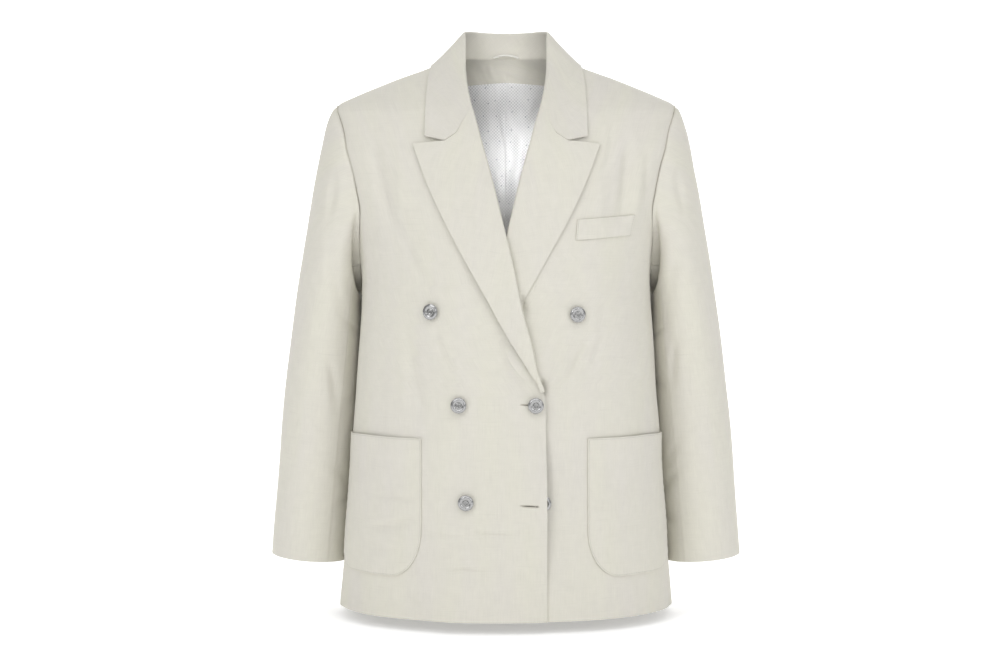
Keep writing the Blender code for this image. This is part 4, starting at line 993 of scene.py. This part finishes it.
class Look:
    """A node material that is built from small steps."""

    def __init__(self, name):
        self.material = bpy.data.materials.new(name)
        self.material.use_nodes = True
        self.tree = self.material.node_tree

    def put(self, target, value):
        if isinstance(value, Value):
            self.tree.links.new(value.socket, target)
        elif value is not None:
            target.default_value = value

    def node(self, kind, *values, named=(), **settings):
        """A new node's outputs, with its first inputs and its named ones filled in."""
        made = self.tree.nodes.new(kind)
        for name, value in settings.items():
            setattr(made, name, value)
        for target, value in [*zip(made.inputs, values), *((made.inputs[at], value) for at, value in named)]:
            self.put(target, value)
        return [Value(self, socket) for socket in made.outputs]

    def math(self, operation, *values):
        return self.node("ShaderNodeMath", *values, operation=operation)[0]

    def sine(self, value, pitch):
        return self.math("SINE", value * (2 * math.pi / pitch))

    def root(self, x, y):
        return self.math("SQRT", x**2 + y**2)

    def uv(self, name):
        return self.node("ShaderNodeSeparateXYZ", self.node("ShaderNodeUVMap", uv_map=name)[0])[:2]

    def place(self):
        return self.node("ShaderNodeSeparateXYZ", self.node("ShaderNodeTexCoord")[3])[:2]

    def noise(self, x, y, across, along, detail=2.0, roughness=0.5):
        """Noise with so many grains a metre each way."""
        place = self.node("ShaderNodeCombineXYZ", x * across, y * along, 0.0)[0]
        named = [("Vector", place), ("Scale", 1.0), ("Detail", detail), ("Roughness", roughness)]
        return self.node("ShaderNodeTexNoise", named=named)[0]

    def spread(self, value, low, high, to_low=0.0, to_high=1.0):
        return self.node("ShaderNodeMapRange", value, low, high, to_low, to_high)[0]

    def blend(self, factor, first, second, kind="MIX"):
        named = [(0, factor), (6, first), (7, second)]
        return self.node("ShaderNodeMix", named=named, data_type="RGBA", blend_type=kind)[2]

    def shaded(self, colour, shade):
        grey = self.node("ShaderNodeCombineColor", shade, shade, shade)[0]
        return self.blend(1.0, colour, grey, "MULTIPLY")

    def bump(self, height, distance, strength, under=None):
        named = [("Strength", strength), ("Distance", distance), ("Height", height), ("Normal", under)]
        return self.node("ShaderNodeBump", named=named)[0]

    def made(self, **sockets):
        """The material, with its shader's sockets set. An underscore stands for a space."""
        for name, value in sockets.items():
            self.put(self.tree.nodes["Principled BSDF"].inputs[name.replace("_", " ")], value)
        return self.material


CREAM, COOL_CREAM = (0.684, 0.670, 0.578), (0.666, 0.640, 0.597)
# Metres from one linen thread, edge stitch, lining figure, lining fleck or stitch of twist to the next.
THREAD_PITCH = 0.00075
STITCH_PITCH = 0.0026
FIGURE_PITCH = 0.0042
FLECK_PITCH = 0.019
TWIST_PITCH = 0.0006


def linen(name, stitch_at=None, painted_light_tint=(1.0, 1.0, 1.0), turned=0.0):
    """Cream linen: a plain weave with slubs both ways, faint clouding, and a row of stitches if asked for,
    their dent darkened as painted shade and the stitches lightened as a painted highlight.
    """
    look = Look(name)
    u, v = look.uv("cut")
    if turned:
        cos, sin = math.cos(math.radians(turned)), math.sin(math.radians(turned))
        u, v = u * cos + v * sin, v * cos - u * sin
    yarn = look.noise(u, v, 1250.0, 38.0, 3.0, 0.6) * 0.6 + look.noise(u, v, 34.0, 1150.0, 3.0, 0.6) * 0.4
    slubs = look.math("MAXIMUM", look.noise(u, v, 520.0, 26.0), look.noise(u, v, 22.0, 480.0))
    # A tint above one makes a lighter copy of the cloth: painted light.
    cream, cool = ((*(c * t for c, t in zip(colour, painted_light_tint)), 1.0) for colour in (CREAM, COOL_CREAM))
    cloud = look.noise(u, v, 24.0, 5.0, 3.0)
    colour = look.blend(look.spread(cloud, 0.30, 0.70, 0.15, 0.75), cream, cool)
    shade = look.spread(yarn, 0.30, 0.70, 0.945, 1.035) * look.spread(slubs, 0.62, 0.80, 1.0, 0.95)
    shade = shade * look.spread(look.noise(u, v, 90.0, 75.0), 0.30, 0.70, 0.985, 1.012)
    threads = look.sine(u, THREAD_PITCH) * look.sine(v, THREAD_PITCH)
    relief = threads * 0.25 + yarn * 1.6 + look.spread(slubs, 0.60, 0.85, 0.0, 0.9)
    if stitch_at:
        away, run = look.uv("stitch")
        off = look.math("ABSOLUTE", away - stitch_at)
        line = look.spread(off, 0.00018, 0.00052, 1.0, 0.0)
        thread = line * look.spread(look.sine(run, STITCH_PITCH), -0.55, -0.15)
        # The stitch line's dent is darkened as painted shade, and the stitches on it are lightened as a
        # painted highlight.
        shade = shade * look.spread(line, 0.0, 1.0, 1.0, 0.80) * look.spread(thread, 0.0, 1.0, 1.0, 1.16)
        relief = relief - look.spread(off, 0.0003, 0.0016, 1.0, 0.0) * 2.2 + thread * 2.0
    wrinkles = look.bump(look.noise(u, v, 55.0, 42.0, 3.0), 0.0009, 0.35)
    return look.made(
        Base_Color=look.shaded(colour, shade),
        Roughness=look.spread(yarn, 0.3, 0.7, 0.80, 0.92),
        Specular_IOR_Level=0.25,
        Sheen_Weight=0.10,
        Sheen_Roughness=0.45,
        Normal=look.bump(relief, 0.00012, 0.7, wrinkles),
    )


def lining(name):
    """White satin lining with a small woven diamond figure and sparse dark flecks."""
    look = Look(name)
    u, v = look.uv("cut")
    figure = look.spread(look.sine(u, FIGURE_PITCH) * look.sine(v, FIGURE_PITCH), -0.35, 0.25)
    cloud = look.spread(look.noise(u, v, 60.0, 30.0), 0.35, 0.65)
    ground = look.blend(cloud, (0.62, 0.62, 0.635, 1.0), (0.80, 0.80, 0.81, 1.0))
    colour = look.blend(figure, ground, (0.93, 0.93, 0.935, 1.0))
    cells = [value * (1 / FLECK_PITCH) for value in (u, v)]
    corner = look.node("ShaderNodeCombineXYZ", *(look.math("FLOOR", value) for value in cells), 0.0)[0]
    chance = look.node("ShaderNodeSeparateColor", look.node("ShaderNodeTexWhiteNoise", corner)[1])
    x, y = (
        (look.math("FRACT", value) - look.spread(at, 0.0, 1.0, 0.2, 0.8)) * FLECK_PITCH
        for value, at in zip(cells, chance)
    )
    fleck = look.spread(look.root(x, y), 0.0005, 0.0010, 1.0, 0.0)
    wrinkles = look.bump(look.noise(u, v, 60.0, 40.0), 0.0012, 0.4)
    return look.made(
        Base_Color=look.blend(fleck, colour, (0.30, 0.31, 0.36, 1.0)),
        Roughness=look.spread(figure, 0.0, 1.0, 0.55, 0.36),
        Sheen_Weight=0.15,
        Normal=look.bump(figure, 0.00008, 0.6, wrinkles),
    )


def sewn_thread(name, colour):
    """Buttonhole twist: tight cream stitches side by side, with painted shade between them and a faint
    painted highlight on their crowns.
    """
    look = Look(name)
    stitch = look.sine(look.place()[0], TWIST_PITCH)
    # The colour follows the stitch bumps: painted shade in their dips, a faint painted highlight on their
    # crowns.
    colour = look.shaded((*colour, 1.0), look.spread(stitch, -1.0, 1.0, 0.88, 1.03))
    return look.made(Base_Color=colour, Roughness=0.6, Normal=look.bump(stitch, 0.0001, 0.8))


def worn_silver(name):
    """Silver plate, dulled in its hollows and brighter where it is rubbed."""
    look = Look(name)
    x, y = look.place()
    radius = look.root(x, y)
    groove = look.spread(look.math("ABSOLUTE", radius - 0.0091), 0.0001, 0.0007, 0.9, 0.0)
    ring = look.spread(radius, 0.0040, 0.0056, 0.75, 0.0)
    grime = look.noise(x, y, 420.0, 420.0, 3.0, 0.6)
    dull = look.math("MAXIMUM", groove, ring) * look.spread(grime, 0.3, 0.6, 0.6, 1.0)
    return look.made(
        Base_Color=look.blend(dull, (0.43, 0.43, 0.43, 1.0), (0.27, 0.27, 0.265, 1.0)),
        Metallic=1.0,
        Roughness=look.spread(grime, 0.3, 0.7, 0.22, 0.30),
        Normal=look.bump(look.noise(x, y, 900.0, 900.0), 0.00002, 0.25),
    )


def pale_backdrop(name):
    pale = (0.97, 0.97, 0.97, 1.0)
    return Look(name).made(
        Base_Color=pale, Emission_Color=pale, Emission_Strength=0.34, Roughness=0.9, Specular_IOR_Level=0.1
    )


# -------- the pieces


def declare(obj, node):
    """Hangs a visible piece from the root mount and hides the CAD part it stands for."""
    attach(obj, "root")
    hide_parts(node)


linen_plain = linen("slubby_linen")
linen_edge = linen("slubby_linen_edge_stitched", stitch_at=0.0016)
linen_lapel = linen("slubby_linen_lapel", turned=28.0)
linen_collar = linen("slubby_linen_collar", turned=45.0)
# The inside's copy is a touch lighter and cooler: painted light for the dim inside of the jacket.
painted_lighter_linen_inside = linen("slubby_linen_inside", painted_light_tint=(1.02, 1.02, 1.03))
satin = lining("jacquard_satin")
twist = sewn_thread("buttonhole_twist", (0.66, 0.63, 0.55))
silver = worn_silver("worn_silver")

heights = panel_heights(skirt=158, armhole=76, shoulder=26)
for side, name, other in ((1, "left", "right"), (-1, "right", "left")):
    edge = angle_at_x(read(FRONT_EDGE, LAYER[side], heights), heights)
    panel, weave = body_panel(side, edge, outer_angle(heights, -1), heights, columns=92)
    front = cloth(f"linen_front_{name}", panel, FRONT_CLOTH, linen_plain, side, weave)
    if side < 0:
        for number in range(2):
            hole = front.modifiers.new(f"buttonhole {number + 1}", "BOOLEAN")
            hole.operation = "DIFFERENCE"
            hole.object = buttonhole_cutter(number)
            thread = buttonhole_thread(number, twist)
            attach(thread, "root")
    declare(front, f"front_{name}")

    seam = math.pi - angle_at_x(np.full_like(heights, SEAM_GAP / 2), heights)
    panel, weave = body_panel(side, outer_angle(heights, 1), seam, heights, columns=60)
    back = cloth(f"linen_back_{name}", panel, BODY_CLOTH, linen_plain, side, weave)
    declare(back, f"back_{name}")

    grid = lapel_grid(side, rows=150, turns=10, columns=46)
    lapel = cloth(f"rolled_lapel_{name}", grid, LAPEL_CLOTH, linen_lapel, side)
    declare(lapel, f"lapel_{name}")

    grid, flat, seam = patch_pocket(side)
    pocket = cloth(f"sewn_patch_pocket_{name}", grid, POCKET_CLOTH, linen_edge, side, flat, seam)
    declare(pocket, f"patch_pocket_{name}")

    for piece, start, end, columns, welt in sleeve_pieces():
        grid = sleeve_grid(side, 150, start, end, columns, welt)[:, ::-1]
        sleeve = cloth(f"linen_{piece}_sleeve_{name}", grid, BODY_CLOTH, linen_plain, side)
        declare(sleeve, f"{piece}_sleeve_{name}")

grid, flat, seam = breast_welt()
welt = cloth("sewn_breast_welt", grid, POCKET_CLOTH, linen_edge, 1, flat, seam)
declare(welt, "breast_pocket_welt")

collar = cloth("turned_collar", collar_grid(ribs=72), COLLAR_CLOTH, linen_collar)
declare(collar, "collar")

grid = inside_back(
    facing_low, lambda _: NECK - 0.0004, INSIDE_GAP - 0.0008, FACING_CREASES, rows=22, columns=90
)
facing = cloth("soft_neck_facing", grid, FACING_CLOTH, painted_lighter_linen_inside)
declare(facing, "back_neck_facing")

grid = inside_back(
    lambda _: LINING_HEM,
    lambda share: facing_low(share) - SEAM_GAP,
    INSIDE_GAP,
    LINING_CREASES,
    rows=110,
    columns=100,
)
# The lining hangs nearly flat, so its weave runs true across and straight down.
back_lining = cloth("pleated_back_lining", grid, LINING_CLOTH, satin, cut=(grid[..., 0], grid[..., 2]))
declare(back_lining, "back_lining")

loop = hanger_loop(sewn_thread("loop_twist", (0.93, 0.92, 0.87)))
declare(loop, "hanger_loop")
for number in range(6):
    declare(button(number, silver), f"button_{number + 1}")

# -------- studio

floor_mesh = bpy.data.meshes.new("studio_floor")
bend = [(3.0 + 1.5 * math.sin(t), 1.5 - 1.5 * math.cos(t)) for t in np.linspace(0.1, math.pi / 2, 12)]
sweep = [(-6.0, 0.0), (3.0, 0.0), *bend, (4.5, 6.0)]
points = [(x, y, FLOOR + z) for y, z in sweep for x in (-8.0, 8.0)]
floor_mesh.from_pydata(points, [], [(2 * i, 2 * i + 1, 2 * i + 3, 2 * i + 2) for i in range(len(sweep) - 1)])
floor_mesh.shade_smooth()
add_object(floor_mesh, pale_backdrop("pale_backdrop"))

world = bpy.data.worlds.new("studio")
world.use_nodes = True
sky = world.node_tree.nodes["Background"].inputs
sky["Color"].default_value = (1.0, 1.0, 1.0, 1.0)
sky["Strength"].default_value = 0.40
bpy.context.scene.world = world
bpy.context.scene.view_settings.view_transform = "Standard"


def soft_box(name, place, aim, size, power):
    light = bpy.data.lights.new(name, "AREA")
    light.shape = "RECTANGLE"
    light.size, light.size_y = size
    light.energy = power
    obj = add_object(light)
    obj.location = place
    obj.rotation_euler = (Vector(aim) - Vector(place)).to_track_quat("-Z", "Y").to_euler()
    return obj


soft_box("key", (-1.8, -2.4, 1.2), (0.0, 0.0, -0.3), (1.2, 1.4), 16.9)
soft_box("fill", (2.0, -2.2, 0.8), (0.0, 0.0, -0.35), (1.4, 1.6), 13.4)
soft_box("front", (0.1, -2.7, 0.6), (0.0, 0.0, -0.25), (0.9, 0.7), 4.6)
soft_box("overhead", (0.0, -1.5, 2.1), (0.0, -0.6, -0.7), (3.2, 1.2), 23.6)
soft_box("backdrop", (0.0, 2.2, 2.4), (0.0, 4.0, -0.4), (5.0, 1.4), 100.0)
# Two small lamps inside the neck, which the camera doesn't see, stand for light that falls in from above.
for name, place, aim, power in (
    ("inside", (0.030, -0.040, -0.136), (0.016, 0.1, -0.124), 0.0238),
    ("inside_neck", (0.004, -0.030, -0.050), (0.0, 0.1, -0.014), 0.0099),
):
    inside = soft_box(name, place, aim, (0.04, 0.06), power)
    inside.data.spread = math.radians(60)
    inside.visible_camera = False

camera_data = bpy.data.cameras.new("photo_camera")
camera_data.lens = 71.4
camera_data.sensor_width = 36.0
camera = add_object(camera_data)
camera.location = (-0.0026, -2.6, -0.186)
camera.rotation_euler = (math.radians(90.0 - 3.75), 0.0, 0.0)
bpy.context.scene.camera = camera
